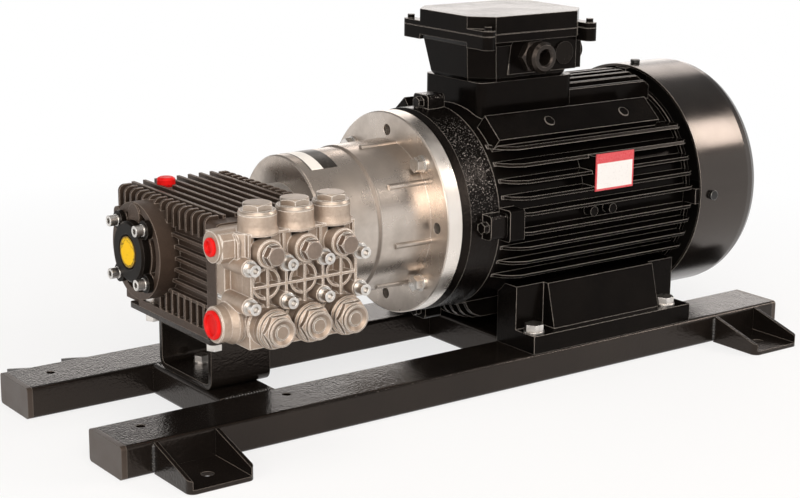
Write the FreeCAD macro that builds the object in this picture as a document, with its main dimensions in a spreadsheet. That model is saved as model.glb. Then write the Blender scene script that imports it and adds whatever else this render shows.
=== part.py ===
import FreeCAD, Part
import math
import os
import sys
import Sketcher
from FreeCAD import Placement, Rotation, Vector

# Motor-driven triplex plunger pump on a welded base frame.
# +X runs from the pump to the motor fan along the drive shaft, +Y away from
# the pump head, +Z up.  The origin is on the floor, midway along the rails and
# midway between them, under the drive axis.

SIZES = [
    # base frame: two rails, two cross members, four feet
    ("rail_l", 785, "length of each steel rail"),
    ("rail_w", 60, "rail section width"),
    ("rail_h", 30, "rail section height"),
    ("rail_t", 3, "rail wall"),
    ("rail_r", 3.5, "outer corner radius of the rail section"),
    ("rail_gap", 124.5, "clear width between the rails"),
    ("rail_hole_r", 4.25, "vertical holes in the rail tops"),
    ("rail_hole_end", 33.5, "outer rail hole from the end of the rail"),
    ("rail_hole_in", 210, "inner rail hole from the middle of the frame"),
    ("front_hole_y", 84.5, "hole line on the front rail"),
    ("rear_hole_y", 94.5, "hole line on the rear rail"),
    ("cap_t", 5, "flange of the rail end cap"),
    ("cap_plug_l", 14, "end cap plug inside the rail"),
    ("cap_fit", 0.2, "gap between plug and rail wall"),
    ("pump_beam_x", -238, "middle of the cross member under the pump"),
    ("motor_beam_x", 94, "middle of the cross member under the motor"),
    ("foot_end", 57.5, "foot bracket middle from the end of the rail"),
    ("foot_w", 64, "foot bracket width along the rail"),
    ("foot_out", 60.5, "foot bracket reach beyond the rail"),
    ("foot_t", 4, "foot bracket plate"),
    ("foot_lip", 11, "height of the side gussets at the outer end"),
    ("foot_drop", 1.5, "gusset top below the rail top"),
    ("foot_r", 7, "outer corner radius of the foot"),
    ("foot_hole_r", 5.5, "anchor hole"),
    ("foot_hole_out", 34, "anchor hole from the rail face"),
    # pump stand
    ("ped_x", -232.5, "middle of the pump stand"),
    ("ped_l", 63, "pump stand length along the shaft"),
    ("ped_y", 6.5, "middle of the pump stand across"),
    ("ped_w", 97, "pump stand width"),
    ("ped_t", 5, "pump stand plate"),
    ("ped_r", 11, "outer bend radius of the pump stand"),
    ("ped_bolt_y", 24, "stand bolt from the middle of the stand"),
    ("top_t", 5, "pump mounting plate thickness"),
    ("top_back", 44, "mounting plate rear edge from the shaft"),
    ("top_front", 107, "mounting plate front edge from the shaft"),
    # drive line
    ("shaft_h", 132, "drive axis above the rail tops"),
    ("pump_h", 59.5, "drive axis above the pump mounting plate"),
    ("pump_x", -240.6, "middle of the pump"),
    ("run_fit", 0.05, "radial running clearance"),
    ("seat_fit", 0.3, "gap between seated pieces"),
    # crankcase
    ("case_w", 120, "crankcase width over the rib tips"),
    ("case_rib", 6, "side rib depth"),
    ("case_back", 60, "crankcase rear face from the shaft"),
    ("case_front", 101, "front of the ribbed part from the shaft"),
    ("case_nose", 16, "front flange thickness"),
    ("case_top", 48.5, "crankcase top above the shaft"),
    ("case_fin", 7, "height of the long top fins"),
    ("case_wall", 8, "crankcase wall"),
    ("fin_pitch", 11.9, "pitch of the long top fins"),
    ("fin_count", 8, "long top fins"),
    ("fin_t", 3, "rib and fin thickness"),
    ("rib_pitch", 11.2, "pitch of the wrap-round side ribs"),
    ("rib_count", 15, "wrap-round side ribs"),
    ("rib_turn", 13, "height of the wrap-round ribs on the side"),
    ("rib_r", 6, "corner radius of the wrap-round ribs"),
    ("side_pitch", 10.5, "pitch of the level side fins"),
    ("side_count", 6, "level side fins"),
    ("low_count", 8, "short ribs at the bottom"),
    ("low_h", 22, "height of the short ribs"),
    ("foot_flange_t", 7, "crankcase foot flange"),
    ("pump_bolt_x", 52, "pump foot bolt from the middle of the pump"),
    ("pump_bolt_back", 12.5, "rear pump foot bolt from the shaft"),
    ("pump_bolt_front", 98, "front pump foot bolt from the shaft"),
    ("boss_r", 44.5, "bearing boss radius"),
    ("boss_rim_r", 37.5, "inner edge of the raised rim round the bearing boss"),
    ("boss_pocket", 5, "depth of the ring pocket in the bearing boss"),
    ("boss_pad_r", 10.5, "round pad at the top of the bearing boss"),
    ("boss_pad_z", 33, "round pad above the shaft"),
    ("boss_out", 14.4, "bearing boss beyond the rib tips"),
    ("bearing_r", 26, "bearing outer radius"),
    ("bearing_w", 13, "bearing width"),
    ("cover_r", 28, "bearing cover radius"),
    ("cover_t", 8.5, "bearing cover thickness"),
    ("cover_ear_r", 8.5, "bearing cover screw ear radius"),
    ("cover_ear_t", 5, "bearing cover screw ear thickness"),
    ("cover_bolt", 24.5, "cover screw from the shaft, both ways"),
    ("glass_r", 14.5, "oil sight disc radius"),
    ("glass_t", 1.5, "oil sight disc thickness"),
    ("rear_cover_t", 6, "rear cover plate"),
    ("filler_x", -20.5, "oil filler from the middle of the pump"),
    ("filler_y", 40, "oil filler from the shaft"),
    ("filler_r", 8.6, "filler cap radius"),
    ("filler_sink", 2.5, "filler seat below the fin tops"),
    ("filler_h", 6, "filler cap height above its neck"),
    ("filler_stem_r", 4.5, "filler cap stem radius"),
    ("filler_stem_l", 7, "filler cap stem length"),
    ("drain_r", 6, "drain plug radius"),
    ("flange_r", 44, "pump flange radius"),
    ("flange_bore", 24, "pump flange bore"),
    # crank gear
    ("cyl_pitch", 37, "distance between plungers"),
    ("throw_e", 6, "crank throw, half the stroke"),
    ("throw_r", 17.5, "throw radius"),
    ("throw_w", 15, "throw width"),
    ("journal_r", 13, "crankshaft journal radius"),
    ("yoke_gap", 0.6, "clearance round the swept throw"),
    ("yoke_t", 5, "yoke wall"),
    ("yoke_w", 16, "yoke width along the shaft"),
    ("guide_r", 14, "crosshead radius"),
    ("guide_l", 27, "crosshead length"),
    ("rod_neck_r", 7.5, "crosshead neck radius"),
    ("rod_neck_l", 6, "crosshead neck length"),
    ("plunger_r", 9, "plunger radius"),
    ("plunger_l", 60, "plunger length"),
    # manifold head
    ("head_w", 119, "manifold flange width"),
    ("head_back_t", 13, "manifold rear flange"),
    ("head_top", 44, "manifold deck above the plungers"),
    ("head_low", 55.5, "manifold underside below the plungers"),
    ("deck_front", 155, "front of the ribbed deck from the shaft"),
    ("deck_low", 20, "underside of the ribbed deck above the plungers"),
    ("deck_span", 105, "distance between the end ribs of the deck"),
    ("deck_r", 7, "corner radius of the deck"),
    ("web_wall", 150, "wall between the bolt rows from the shaft"),
    ("web_face", 163, "front of the webs between the bolt rows"),
    ("web_reach", 20, "webs above and below the plungers"),
    ("out_y", 136, "outlet gallery from the shaft"),
    ("out_z", 32, "outlet gallery above the plungers"),
    ("out_r", 13.6, "outlet gallery barrel radius"),
    ("out_bore", 7, "outlet gallery bore radius"),
    ("out_end", 16, "outlet boss beyond the flange"),
    ("in_y", 138, "inlet gallery from the shaft"),
    ("in_z", 35, "inlet gallery below the plungers"),
    ("in_r", 19, "inlet gallery barrel radius"),
    ("in_bore", 11, "inlet gallery bore radius"),
    ("in_end", 16, "inlet boss beyond the flange"),
    ("tower_r", 16.6, "discharge valve tower radius"),
    ("tower_y", 147, "discharge valves from the shaft"),
    ("tower_top", 58.5, "tower top above the plungers"),
    ("tower_flare", 1.6, "flare at the root of the towers"),
    ("cap_rim_t", 3.4, "discharge valve cap rim thickness"),
    ("cap_hex", 24.5, "discharge valve cap across flats"),
    ("cap_hex_h", 6, "discharge valve cap hexagon height"),
    ("suction_r", 18.2, "suction valve boss radius"),
    ("suction_face", 168, "front of the suction bosses from the shaft"),
    ("suction_z", 36.6, "suction valves below the plungers"),
    ("suction_cap_r", 17.5, "suction valve cap rim radius"),
    ("suction_cap_t", 19, "suction valve cap standing proud"),
    ("suction_hex", 27, "suction valve cap across flats"),
    ("valve_bore", 11.5, "valve chamber bore radius"),
    ("barrel_r", 14, "rimmed recess over each plunger"),
    ("barrel_rim", 2.2, "rim of that recess"),
    ("barrel_face", 160.5, "front of the rimmed recesses"),
    ("barrel_deep", 8, "depth of the rimmed recesses"),
    ("rod_z", 16.6, "head bolts above and below the plungers"),
    ("stud_r", 7.6, "head bolt boss radius"),
    ("stud_face", 164, "front of the head bolt bosses"),
    ("plug_z", 27, "gallery plugs above the plungers"),
    ("plug_r", 12.6, "gallery plug boss radius"),
    ("plug_collar_r", 9.7, "gallery plug collar radius"),
    ("plug_collar_t", 2.4, "gallery plug collar thickness"),
    ("plug_face", 168, "front of the gallery plug bosses"),
    ("plug_hex", 16, "gallery plug across flats"),
    ("plug_hex_h", 7.5, "gallery plug hexagon height"),
    ("deck_rib_t", 2.4, "deck rib thickness"),
    ("deck_rib_out", 4.5, "deck rib depth"),
    ("head_bolt_in", 10, "head bolt reach into the crankcase"),
    ("head_screw_r", 5.2, "head bolt head radius"),
    ("head_screw_h", 8, "head bolt head height"),
    ("head_washer_r", 7, "head bolt washer radius"),
    ("out_plug_r", 8.2, "outlet plug flange radius"),
    ("in_plug_r", 12.6, "inlet plug flange radius"),
    # bell housing and coupling
    ("bell_x0", -161, "bell housing pump face"),
    ("bell_r0", 70, "bell radius at the pump face"),
    ("bell_r1", 73.5, "bell radius at the flange"),
    ("bell_step", -98, "step in the bell wall"),
    ("bell_wall", 9, "bell wall"),
    ("bell_nose_t", 12, "bell front wall"),
    ("flange_x0", -38.8, "motor flange ring front"),
    ("flange_x1", -21.8, "motor flange ring rear"),
    ("flange_or", 100, "motor flange radius"),
    ("flange_pcd_r", 82.5, "motor flange hole circle radius"),
    ("flange_hole_r", 5.5, "motor flange hole radius"),
    ("bell_bolt_r", 6.5, "bell screw head radius"),
    ("bell_bolt_h", 8, "bell screw head height"),
    ("shaft_r", 19, "motor shaft radius"),
    ("tail_r", 16, "motor shaft radius at the fan"),
    ("shaft_out", 80, "motor shaft beyond its flange"),
    ("hub_r", 38, "coupling hub radius"),
    ("hub_l", 34, "coupling hub length"),
    # motor
    ("motor_r", 102, "motor barrel radius"),
    ("motor_wall", 7, "motor barrel wall"),
    ("motor_tip", 119, "motor fin tip radius"),
    ("motor_x0", 22, "finned barrel start"),
    ("motor_x1", 268, "finned barrel end"),
    ("shield_r", 101, "front endshield radius"),
    ("shield_t", 10, "endshield wall"),
    ("mfin_t", 3.2, "motor fin thickness"),
    ("mfin_first", 9.6, "first level motor fin from the shaft"),
    ("mfin_pitch", 15.2, "pitch of the level motor fins"),
    ("mfin_lead", 20, "length over which the motor fins rise"),
    ("mfin_count", 5, "level motor fins on each side above the shaft"),
    ("tfin_pitch", 12, "pitch of the upright motor fins"),
    ("pad_angle", 41, "slanting pads from the upright, degrees"),
    ("pad_w", 31, "slanting pad width"),
    ("pad_x1", 241, "slanting pad end"),
    ("pad_face", 118, "slanting pad face from the shaft"),
    ("pad_hole_x", 102.5, "first hole of the slanting pad"),
    ("pad_hole_l", 99, "slanting pad hole spacing"),
    ("pad_hole_r", 3.4, "slanting pad hole radius"),
    ("lug_l", 20, "endshield lug length"),
    ("lug_w", 24, "endshield lug width"),
    ("lug_out", 114, "endshield lug top from the shaft"),
    ("block_w", 31, "lug block of the barrel, width"),
    ("block_l", 18, "lug block of the barrel, length"),
    ("block_out", 118, "lug block of the barrel from the shaft"),
    ("cowl_x0", 273, "fan cowl front rim"),
    ("cowl_x1", 366.5, "fan cowl rear"),
    ("cowl_r", 122.4, "fan cowl radius"),
    ("cowl_t", 2.5, "fan cowl sheet"),
    ("cowl_round", 24, "fan cowl rear shoulder radius"),
    ("grille_pitch", 13, "fan grille ring pitch"),
    ("fan_gap", 29, "fan behind the front rim of the cowl"),
    ("fan_r", 96, "fan radius"),
    ("fan_w", 34, "fan blade width"),
    ("fan_blades", 8, "fan blades"),
    ("foot_bar_lead", 11, "motor foot start before its first bolt"),
    ("foot_bar_tail", 23, "motor foot end beyond its last bolt"),
    ("foot_wall_y", 111, "motor foot wall from the shaft, at the bar"),
    ("foot_wall_top_y", 99.5, "motor foot wall from the shaft, at the top"),
    ("foot_wall_top", 69.5, "motor foot wall top below the shaft"),
    ("foot_end_y", 93, "motor foot ends above the bar, from the shaft"),
    ("foot_end_first", 24, "motor foot wall start beyond the first bolt"),
    ("foot_end_last", 12, "motor foot wall end before the last bolt"),
    ("foot_bar_t", 18.5, "motor foot thickness"),
    ("foot_bar_y", 122, "motor foot outer edge from the shaft"),
    ("motor_bolt_x", 64, "first motor foot bolt"),
    ("motor_bolt_l", 178, "motor foot bolt spacing along the shaft"),
    ("motor_bolt_y", 108, "motor foot bolt from the shaft"),
    ("motor_bolt_r", 5, "motor foot bolt radius"),
    # terminal box
    ("box_x0", 28, "terminal box lid start"),
    ("box_x1", 172, "terminal box lid end"),
    ("box_w", 116, "terminal box lid width"),
    ("box_top", 354.5, "terminal box lid top above the floor"),
    ("lid_h", 17, "terminal box lid height"),
    ("lid_cut", 20, "terminal box corner cut"),
    ("lid_wall", 3, "terminal box wall"),
    ("box_low", 289, "terminal box underside"),
    ("box_in", 6, "entry panel of the terminal box inside the lid edge"),
    ("box_rim_h", 8, "upright rim of the terminal box"),
    ("box_waist", 3, "box wall inside the lid edge below its rim"),
    ("box_base", 8.5, "box wall inside the lid edge at the base"),
    ("box_room", 13, "terminal space inside the lid edge"),
    ("ear_r", 7, "cover screw ear radius"),
    ("ear_out", 4, "cover screw beyond the long side of the lid"),
    ("ear_in", 7, "cover screw inside the short side of the lid"),
    ("panel_x0", 70, "entry panel start"),
    ("panel_x1", 157, "entry panel end"),
    ("neck_r", 8, "corner radius of the terminal box neck"),
    ("neck_in", 12, "terminal box neck inside the lid edge"),
    ("gland_z", 313, "cable entry height"),
    ("gland_x", 98.5, "cable gland from the origin"),
    ("entry_pitch", 41.3, "second cable entry from the gland"),
    ("side_entry_y", 35, "side cable entry from the shaft"),
    ("entry_r", 8, "cable entry radius"),
    ("gland_r", 15.4, "cable gland nut radius"),
    ("gland_bore", 7.5, "cable gland bore radius"),
    ("gland_out", 22, "cable gland reach"),
    ("label_x", 152.5, "middle of the nameplate from the origin"),
    ("label_z", 184.5, "lower edge of the nameplate"),
    ("label_w", 50, "nameplate width"),
    ("label_h", 37, "nameplate height"),
]


class Size:
    """A length that knows both its value and the sheet expression behind it."""

    def __init__(self, value, text):
        self.v = float(value)
        self.t = text

    def __add__(self, other):
        other = size(other)
        return Size(self.v + other.v, "(" + self.t + " + " + other.t + ")")

    def __radd__(self, other):
        return size(other) + self

    def __sub__(self, other):
        other = size(other)
        return Size(self.v - other.v, "(" + self.t + " - " + other.t + ")")

    def __rsub__(self, other):
        return size(other) - self

    def __mul__(self, other):
        other = size(other)
        return Size(self.v * other.v, "(" + self.t + " * " + other.t + ")")

    def __rmul__(self, other):
        return size(other) * self

    def __truediv__(self, other):
        other = size(other)
        return Size(self.v / other.v, "(" + self.t + " / " + other.t + ")")

    def __neg__(self):
        return Size(-self.v, "(0 - " + self.t + ")")


def size(value):
    """Any plain number as a Size."""
    if isinstance(value, Size):
        return value
    return Size(value, repr(float(value)))


class Sheet:
    """The driving dimensions, one named cell each."""

    def __init__(self, document, rows):
        self.cells = document.addObject("Spreadsheet::Sheet", "dims")
        self.values = {}
        for number, (alias, value, note) in enumerate(rows, start=1):
            self.cells.set("A%d" % number, note)
            self.cells.set("B%d" % number, str(value))
            self.cells.setAlias("B%d" % number, alias)
            self.values[alias] = value

    def __getattr__(self, alias):
        values = self.__dict__["values"]
        if alias not in values:
            raise AttributeError(alias)
        return Size(values[alias], "dims." + alias)


doc = FreeCAD.newDocument("high_pressure_pump_unit")
d = Sheet(doc, SIZES)
doc.recompute()

NODES = {}
SERIAL = [0]

TURN = {
    "x": Rotation(Vector(0, 0, 1), Vector(1, 0, 0)),
    "-x": Rotation(Vector(0, 0, 1), Vector(-1, 0, 0)),
    "y": Rotation(Vector(0, 0, 1), Vector(0, 1, 0)),
    "-y": Rotation(Vector(0, 0, 1), Vector(0, -1, 0)),
    "z": Rotation(),
    "-z": Rotation(Vector(1, 0, 0), 180),
}


def fresh(stem):
    """A document name that is used once."""
    SERIAL[0] += 1
    return "%s_%03d" % (stem, SERIAL[0])


def bind(thing, path, value):
    """Set a property from a Size through its sheet expression."""
    value = size(value)
    if "dims." in value.t:
        thing.setExpression(path, value.t)
    else:
        setattr(thing, path, value.v)


def put(thing, x, y, z, turn=None):
    """Place an object by three Sizes and a rotation."""
    spot = [size(x), size(y), size(z)]
    rotation = turn if turn is not None else Rotation()
    thing.Placement = Placement(Vector(spot[0].v, spot[1].v, spot[2].v), rotation)
    for axis, value in zip("xyz", spot):
        if "dims." in value.t:
            thing.setExpression("Placement.Base." + axis, value.t)
    return thing


def block(x0, x1, y0, y1, z0, z1):
    """Box between two corners."""
    thing = doc.addObject("Part::Box", fresh("block"))
    bind(thing, "Length", size(x1) - x0)
    bind(thing, "Width", size(y1) - y0)
    bind(thing, "Height", size(z1) - z0)
    return put(thing, x0, y0, z0)


def rod(axis, radius, length, x, y, z):
    """Cylinder from a start point along an axis."""
    thing = doc.addObject("Part::Cylinder", fresh("rod"))
    bind(thing, "Radius", radius)
    bind(thing, "Height", length)
    return put(thing, x, y, z, TURN[axis])


def cone(axis, radius0, radius1, length, x, y, z):
    """Cone frustum from a start point along an axis."""
    thing = doc.addObject("Part::Cone", fresh("cone"))
    bind(thing, "Radius1", radius0)
    bind(thing, "Radius2", radius1)
    bind(thing, "Height", length)
    return put(thing, x, y, z, TURN[axis])


def hexagon(axis, flats, length, x, y, z):
    """Hexagonal prism, sized across its flats."""
    thing = doc.addObject("Part::Prism", fresh("hex"))
    thing.Polygon = 6
    bind(thing, "Circumradius", size(flats) / math.sqrt(3.0))
    bind(thing, "Height", length)
    return put(thing, x, y, z, TURN[axis])


def hex_head(axis, flats, height, x, y, z):
    """Hexagon head whose outer corners are turned off."""
    flats = size(flats)
    corner = flats / math.sqrt(3.0)
    turned_off = turned(fresh("crown"), axis, x, y, z, [
        (0, 0), (corner, 0), (corner, height - flats * 0.07), (flats * 0.47, height), (0, height)])
    return both(hexagon(axis, flats, height, x, y, z), turned_off)


def join(*things):
    """Union of two or more objects."""
    if len(things) == 1:
        return things[0]
    thing = doc.addObject("Part::MultiFuse", fresh("join"))
    thing.Shapes = list(things)
    thing.Refine = True
    return thing


def weld(base, lump):
    """Union of a casting and one more lump of it."""
    thing = doc.addObject("Part::Fuse", fresh("weld"))
    thing.Base = base
    thing.Tool = lump
    thing.Refine = False
    return thing


def group(*things):
    """Loose set of solids that never touch."""
    thing = doc.addObject("Part::Compound", fresh("set"))
    thing.Links = list(things)
    return thing


def minus(base, *tools):
    """Cut one or more tools from a base."""
    thing = doc.addObject("Part::Cut", fresh("cut"))
    thing.Base = base
    thing.Tool = tools[0] if len(tools) == 1 else join(*tools)
    thing.Refine = True
    return thing


def both(base, tool):
    """Common part of two objects."""
    thing = doc.addObject("Part::Common", fresh("common"))
    thing.Base = base
    thing.Tool = tool
    thing.Refine = True
    return thing


def plane(body, role):
    """One of the body's own origin planes."""
    return [item for item in body.Origin.OriginFeatures if item.Role == role][0]


def outline(sketch, points):
    """Closed polyline; every corner is dimensioned from the sketch origin."""
    corners = [(size(a), size(b)) for a, b in points]
    total = len(corners)
    first = sketch.GeometryCount
    for i in range(total):
        a = Vector(corners[i][0].v, corners[i][1].v, 0)
        b = Vector(corners[(i + 1) % total][0].v, corners[(i + 1) % total][1].v, 0)
        sketch.addGeometry(Part.LineSegment(a, b), False)
    for i in range(total):
        after = first + (i + 1) % total
        sketch.addConstraint(Sketcher.Constraint("Coincident", first + i, 2, after, 1))
    for i in range(total):
        for kind, value in (("DistanceX", corners[i][0]), ("DistanceY", corners[i][1])):
            rule = Sketcher.Constraint(kind, -1, 1, first + i, 1, value.v)
            number = sketch.addConstraint(rule)
            if "dims." in value.t:
                sketch.setExpression("Constraints[%d]" % number, value.t)


def ring(sketch, x, y, radius):
    """Circle with its centre and radius dimensioned."""
    x, y, radius = size(x), size(y), size(radius)
    circle = Part.Circle(Vector(x.v, y.v, 0), Vector(0, 0, 1), radius.v)
    number = sketch.addGeometry(circle, False)
    rules = [("DistanceX", x), ("DistanceY", y)]
    for kind, value in rules:
        rule = Sketcher.Constraint(kind, -1, 1, number, 3, value.v)
        index = sketch.addConstraint(rule)
        if "dims." in value.t:
            sketch.setExpression("Constraints[%d]" % index, value.t)
    index = sketch.addConstraint(Sketcher.Constraint("Radius", number, radius.v))
    if "dims." in radius.t:
        sketch.setExpression("Constraints[%d]" % index, radius.t)


PLANES = {"x": "YZ_Plane", "y": "XZ_Plane", "z": "XY_Plane"}


def box_outline(a0, a1, b0, b1):
    """Corners of a rectangle."""
    return [(a0, b0), (a1, b0), (a1, b1), (a0, b1)]


def new_body(name, x=0, y=0, z=0, turn=None):
    """Empty body at a place."""
    body = doc.addObject("PartDesign::Body", name)
    return put(body, x, y, z, turn)


def new_sketch(body, axis, lift=0):
    """Sketch on the origin plane normal to an axis, lifted along it."""
    sketch = body.newObject("Sketcher::SketchObject", fresh("sketch"))
    sketch.AttachmentSupport = (plane(body, PLANES[axis]), [""])
    sketch.MapMode = "FlatFace"
    lift = size(lift)
    if axis == "y":
        lift = -lift
    if lift.v != 0 or "dims." in lift.t:
        sketch.AttachmentOffset = Placement(Vector(0, 0, lift.v), Rotation())
        if "dims." in lift.t:
            sketch.setExpression("AttachmentOffset.Base.z", lift.t)
    return sketch


def pad(body, sketch, axis, length):
    """Pad that grows along the positive axis."""
    feature = body.newObject("PartDesign::Pad", fresh("pad"))
    feature.Profile = sketch
    feature.Reversed = axis == "y"
    bind(feature, "Length", length)
    return feature


def pocket(body, sketch, axis, length):
    """Pocket that cuts along the positive axis from its sketch."""
    feature = body.newObject("PartDesign::Pocket", fresh("pocket"))
    feature.Profile = sketch
    feature.Reversed = axis != "y"
    bind(feature, "Length", length)
    return feature


def prism(name, axis, start, length, points, holes=()):
    """Body padded from a closed outline, with round through holes."""
    body = new_body(name)
    sketch = new_sketch(body, axis, start)
    outline(sketch, points)
    for x, y, radius in holes:
        ring(sketch, x, y, radius)
    pad(body, sketch, axis, length)
    return body


def turned(name, axis, x, y, z, points):
    """Body turned about an axis; corners are (radius, distance along it)."""
    body = new_body(name, x, y, z, TURN[axis])
    sketch = new_sketch(body, "y")
    outline(sketch, points)
    feature = body.newObject("PartDesign::Revolution", fresh("turn"))
    feature.Profile = sketch
    feature.ReferenceAxis = (sketch, ["V_Axis"])
    feature.Angle = 360
    return body


def lofted(name, axis, sections):
    """Body lofted with straight sides through outlines at rising stations."""
    body = new_body(name)
    sketches = []
    for station, points in sections:
        sketch = new_sketch(body, axis, station)
        outline(sketch, points)
        sketches.append(sketch)
    feature = body.newObject("PartDesign::AdditiveLoft", fresh("loft"))
    feature.Profile = sketches[0]
    feature.Sections = sketches[1:]
    feature.Ruled = True
    return body


def soften(body, radius, keep):
    """Fillet the edges of a body's last feature that a test picks."""
    doc.recompute()
    base = body.Tip
    names = []
    for number, edge in enumerate(base.Shape.Edges, start=1):
        if keep(edge):
            names.append("Edge%d" % number)
    feature = body.newObject("PartDesign::Fillet", fresh("fillet"))
    feature.Base = (base, names)
    bind(feature, "Radius", radius)
    return feature


def round_off(thing, radius, keep):
    """Fillet the edges of a plain solid that a test picks."""
    doc.recompute()
    radius = size(radius)
    picked = []
    for number, edge in enumerate(thing.Shape.Edges, start=1):
        if keep(edge):
            picked.append((number, radius.v, radius.v))
    feature = doc.addObject("Part::Fillet", fresh("round"))
    feature.Base = thing
    feature.Edges = picked
    return feature


def along(edge, axis, least=0.0):
    """Is a straight edge parallel to an axis and at least so long?"""
    if edge.Curve.TypeId != "Part::GeomLine":
        return False
    return abs(edge.Curve.Direction[axis]) > 0.999 and edge.Length >= least


def node(name, thing):
    """Register a finished piece under its file name."""
    thing.Label = name
    NODES[name] = thing
    return thing


AXIS = d.rail_h + d.shaft_h
RAIL_Y = (d.rail_gap + d.rail_w) / 2
RAIL_IN = d.rail_gap / 2
RAIL_OUT = RAIL_IN + d.rail_w
DECK = AXIS - d.pump_h
PX = d.pump_x
CYL = [PX - d.cyl_pitch, PX, PX + d.cyl_pitch]


def rect_tube(name, axis, start, length, a_mid, a_width):
    """Rectangular tube along X or Y standing on the floor."""
    body = new_body(name)
    outer = new_sketch(body, axis, start)
    low = a_mid - a_width / 2
    high = a_mid + a_width / 2
    outline(outer, box_outline(low, high, 0, d.rail_h))
    pad(body, outer, axis, length)
    run = 0 if axis == "x" else 1
    soften(body, d.rail_r, lambda edge: along(edge, run, 20))
    inner = new_sketch(body, axis, start)
    outline(inner, box_outline(low + d.rail_t, high - d.rail_t, d.rail_t, d.rail_h - d.rail_t))
    pocket(body, inner, axis, length)
    return body


def top_holes(body, spots, radius):
    """Round holes through the upper wall of a tube."""
    sketch = new_sketch(body, "z", d.rail_h - d.rail_t - 1)
    for x, y in spots:
        ring(sketch, x, y, radius)
    pocket(body, sketch, "z", d.rail_t + 2)


for side, sign, hole_y in (("front", -1, -d.front_hole_y), ("rear", 1, d.rear_hole_y)):
    rail = rect_tube(side + "_rail", "x", -d.rail_l / 2, d.rail_l, sign * RAIL_Y, d.rail_w)
    spots = [(d.rail_hole_end - d.rail_l / 2, hole_y), (-d.rail_hole_in, hole_y)]
    top_holes(rail, spots, d.rail_hole_r)
    spots = []
    for step in (0, 1):
        spots.append((d.motor_bolt_x + step * d.motor_bolt_l, sign * d.motor_bolt_y))
    top_holes(rail, spots, d.motor_bolt_r + d.seat_fit)
    node(side + "_rail", rail)
    for end, way in (("left", -1), ("right", 1)):
        low = sign * RAIL_Y - d.rail_w / 2
        high = sign * RAIL_Y + d.rail_w / 2
        seat = d.rail_l / 2
        if way < 0:
            cap = block(-seat - d.cap_t, -seat, low, high, 0, d.rail_h)
        else:
            cap = block(seat, seat + d.cap_t, low, high, 0, d.rail_h)
        cap = round_off(cap, 3.5, lambda edge: along(edge, 0))
        inset = d.rail_t + d.cap_fit
        x0 = -seat if way < 0 else seat - d.cap_plug_l
        x1 = -seat + d.cap_plug_l if way < 0 else seat
        plug = block(x0, x1, low + inset, high - inset, inset, d.rail_h - inset)
        node(side + "_" + end + "_cap", join(cap, plug))

beam = rect_tube("pump_crossmember", "y", -RAIL_IN, d.rail_gap, d.pump_beam_x, d.rail_w)
spots = [(d.ped_x, d.ped_y - d.ped_bolt_y), (d.ped_x, d.ped_y + d.ped_bolt_y)]
top_holes(beam, spots, 4.3)
node("pump_crossmember", beam)
beam = rect_tube("motor_crossmember", "y", -RAIL_IN, d.rail_gap, d.motor_beam_x, d.rail_w)
node("motor_crossmember", beam)


def foot(name, end, side):
    """Folded foot tray: base plate with two tapering side gussets."""
    middle = end * (d.rail_l / 2 - d.foot_end)
    x0 = middle - d.foot_w / 2
    inner = side * RAIL_OUT
    outer = side * (RAIL_OUT + d.foot_out)
    top = d.rail_h - d.foot_drop
    corners = [(inner, 0), (outer, 0), (outer, d.foot_lip), (inner, top)]
    body = prism(name, "x", x0, d.foot_w, corners)
    far = (RAIL_OUT + d.foot_out).v - 1

    def rim(edge):
        return along(edge, 2) and abs(edge.Vertexes[0].Y) > far

    soften(body, d.foot_r, rim)
    tray = new_sketch(body, "x", x0 + d.foot_t)
    beyond = side * (RAIL_OUT + d.foot_out + 5)
    before = side * (RAIL_OUT - 5)
    outline(tray, box_outline(before, beyond, d.foot_t, d.rail_h + 5))
    pocket(body, tray, "x", d.foot_w - 2 * d.foot_t)
    hole = new_sketch(body, "z", -1)
    ring(hole, middle, side * (RAIL_OUT + d.foot_hole_out), d.foot_hole_r)
    pocket(body, hole, "z", d.foot_t + 2)
    return node(name, body)


foot("foot_front_left", -1, -1)
foot("foot_front_right", 1, -1)
foot("foot_rear_left", -1, 1)
foot("foot_rear_right", 1, 1)

# pump stand: one bent plate, open upwards, closed by the mounting plate
PED_X0 = d.ped_x - d.ped_l / 2
PED_LOW = d.ped_y - d.ped_w / 2
PED_HIGH = d.ped_y + d.ped_w / 2
stand = prism("pump_pedestal", "x", PED_X0, d.ped_l,
              box_outline(PED_LOW, PED_HIGH, d.rail_h, DECK - d.top_t))
soften(stand, d.ped_r, lambda edge: along(edge, 0) and edge.Vertexes[0].Z < d.rail_h.v + 1)
channel = new_sketch(stand, "x", PED_X0 - 1)
outline(channel, box_outline(PED_LOW + d.ped_t, PED_HIGH - d.ped_t,
                             d.rail_h + d.ped_t, DECK - d.top_t + 1))
pocket(stand, channel, "x", d.ped_l + 2)
soften(stand, d.ped_r - d.ped_t,
       lambda edge: along(edge, 0) and abs(edge.Vertexes[0].Z - (d.rail_h + d.ped_t).v) < 0.1)
holes = new_sketch(stand, "z", d.rail_h - 1)
for step in (-1, 1):
    ring(holes, d.ped_x, d.ped_y + step * d.ped_bolt_y, 4.5)
pocket(stand, holes, "z", d.ped_t + 2)
node("pump_pedestal", stand)

X0 = PX - d.case_w / 2
X1 = PX + d.case_w / 2
FOOT_SPOTS = []
for step in (-1, 1):
    FOOT_SPOTS.append((PX + step * d.pump_bolt_x, d.pump_bolt_back))
    FOOT_SPOTS.append((PX + step * d.pump_bolt_x, -d.pump_bolt_front))
plate = prism("pump_mounting_plate", "z", DECK - d.top_t, d.top_t,
              box_outline(X0, X1, -d.top_front, d.top_back),
              [(x, y, 4.5) for x, y in FOOT_SPOTS])
soften(plate, 4, lambda edge: along(edge, 2))
node("pump_mounting_plate", plate)


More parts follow.
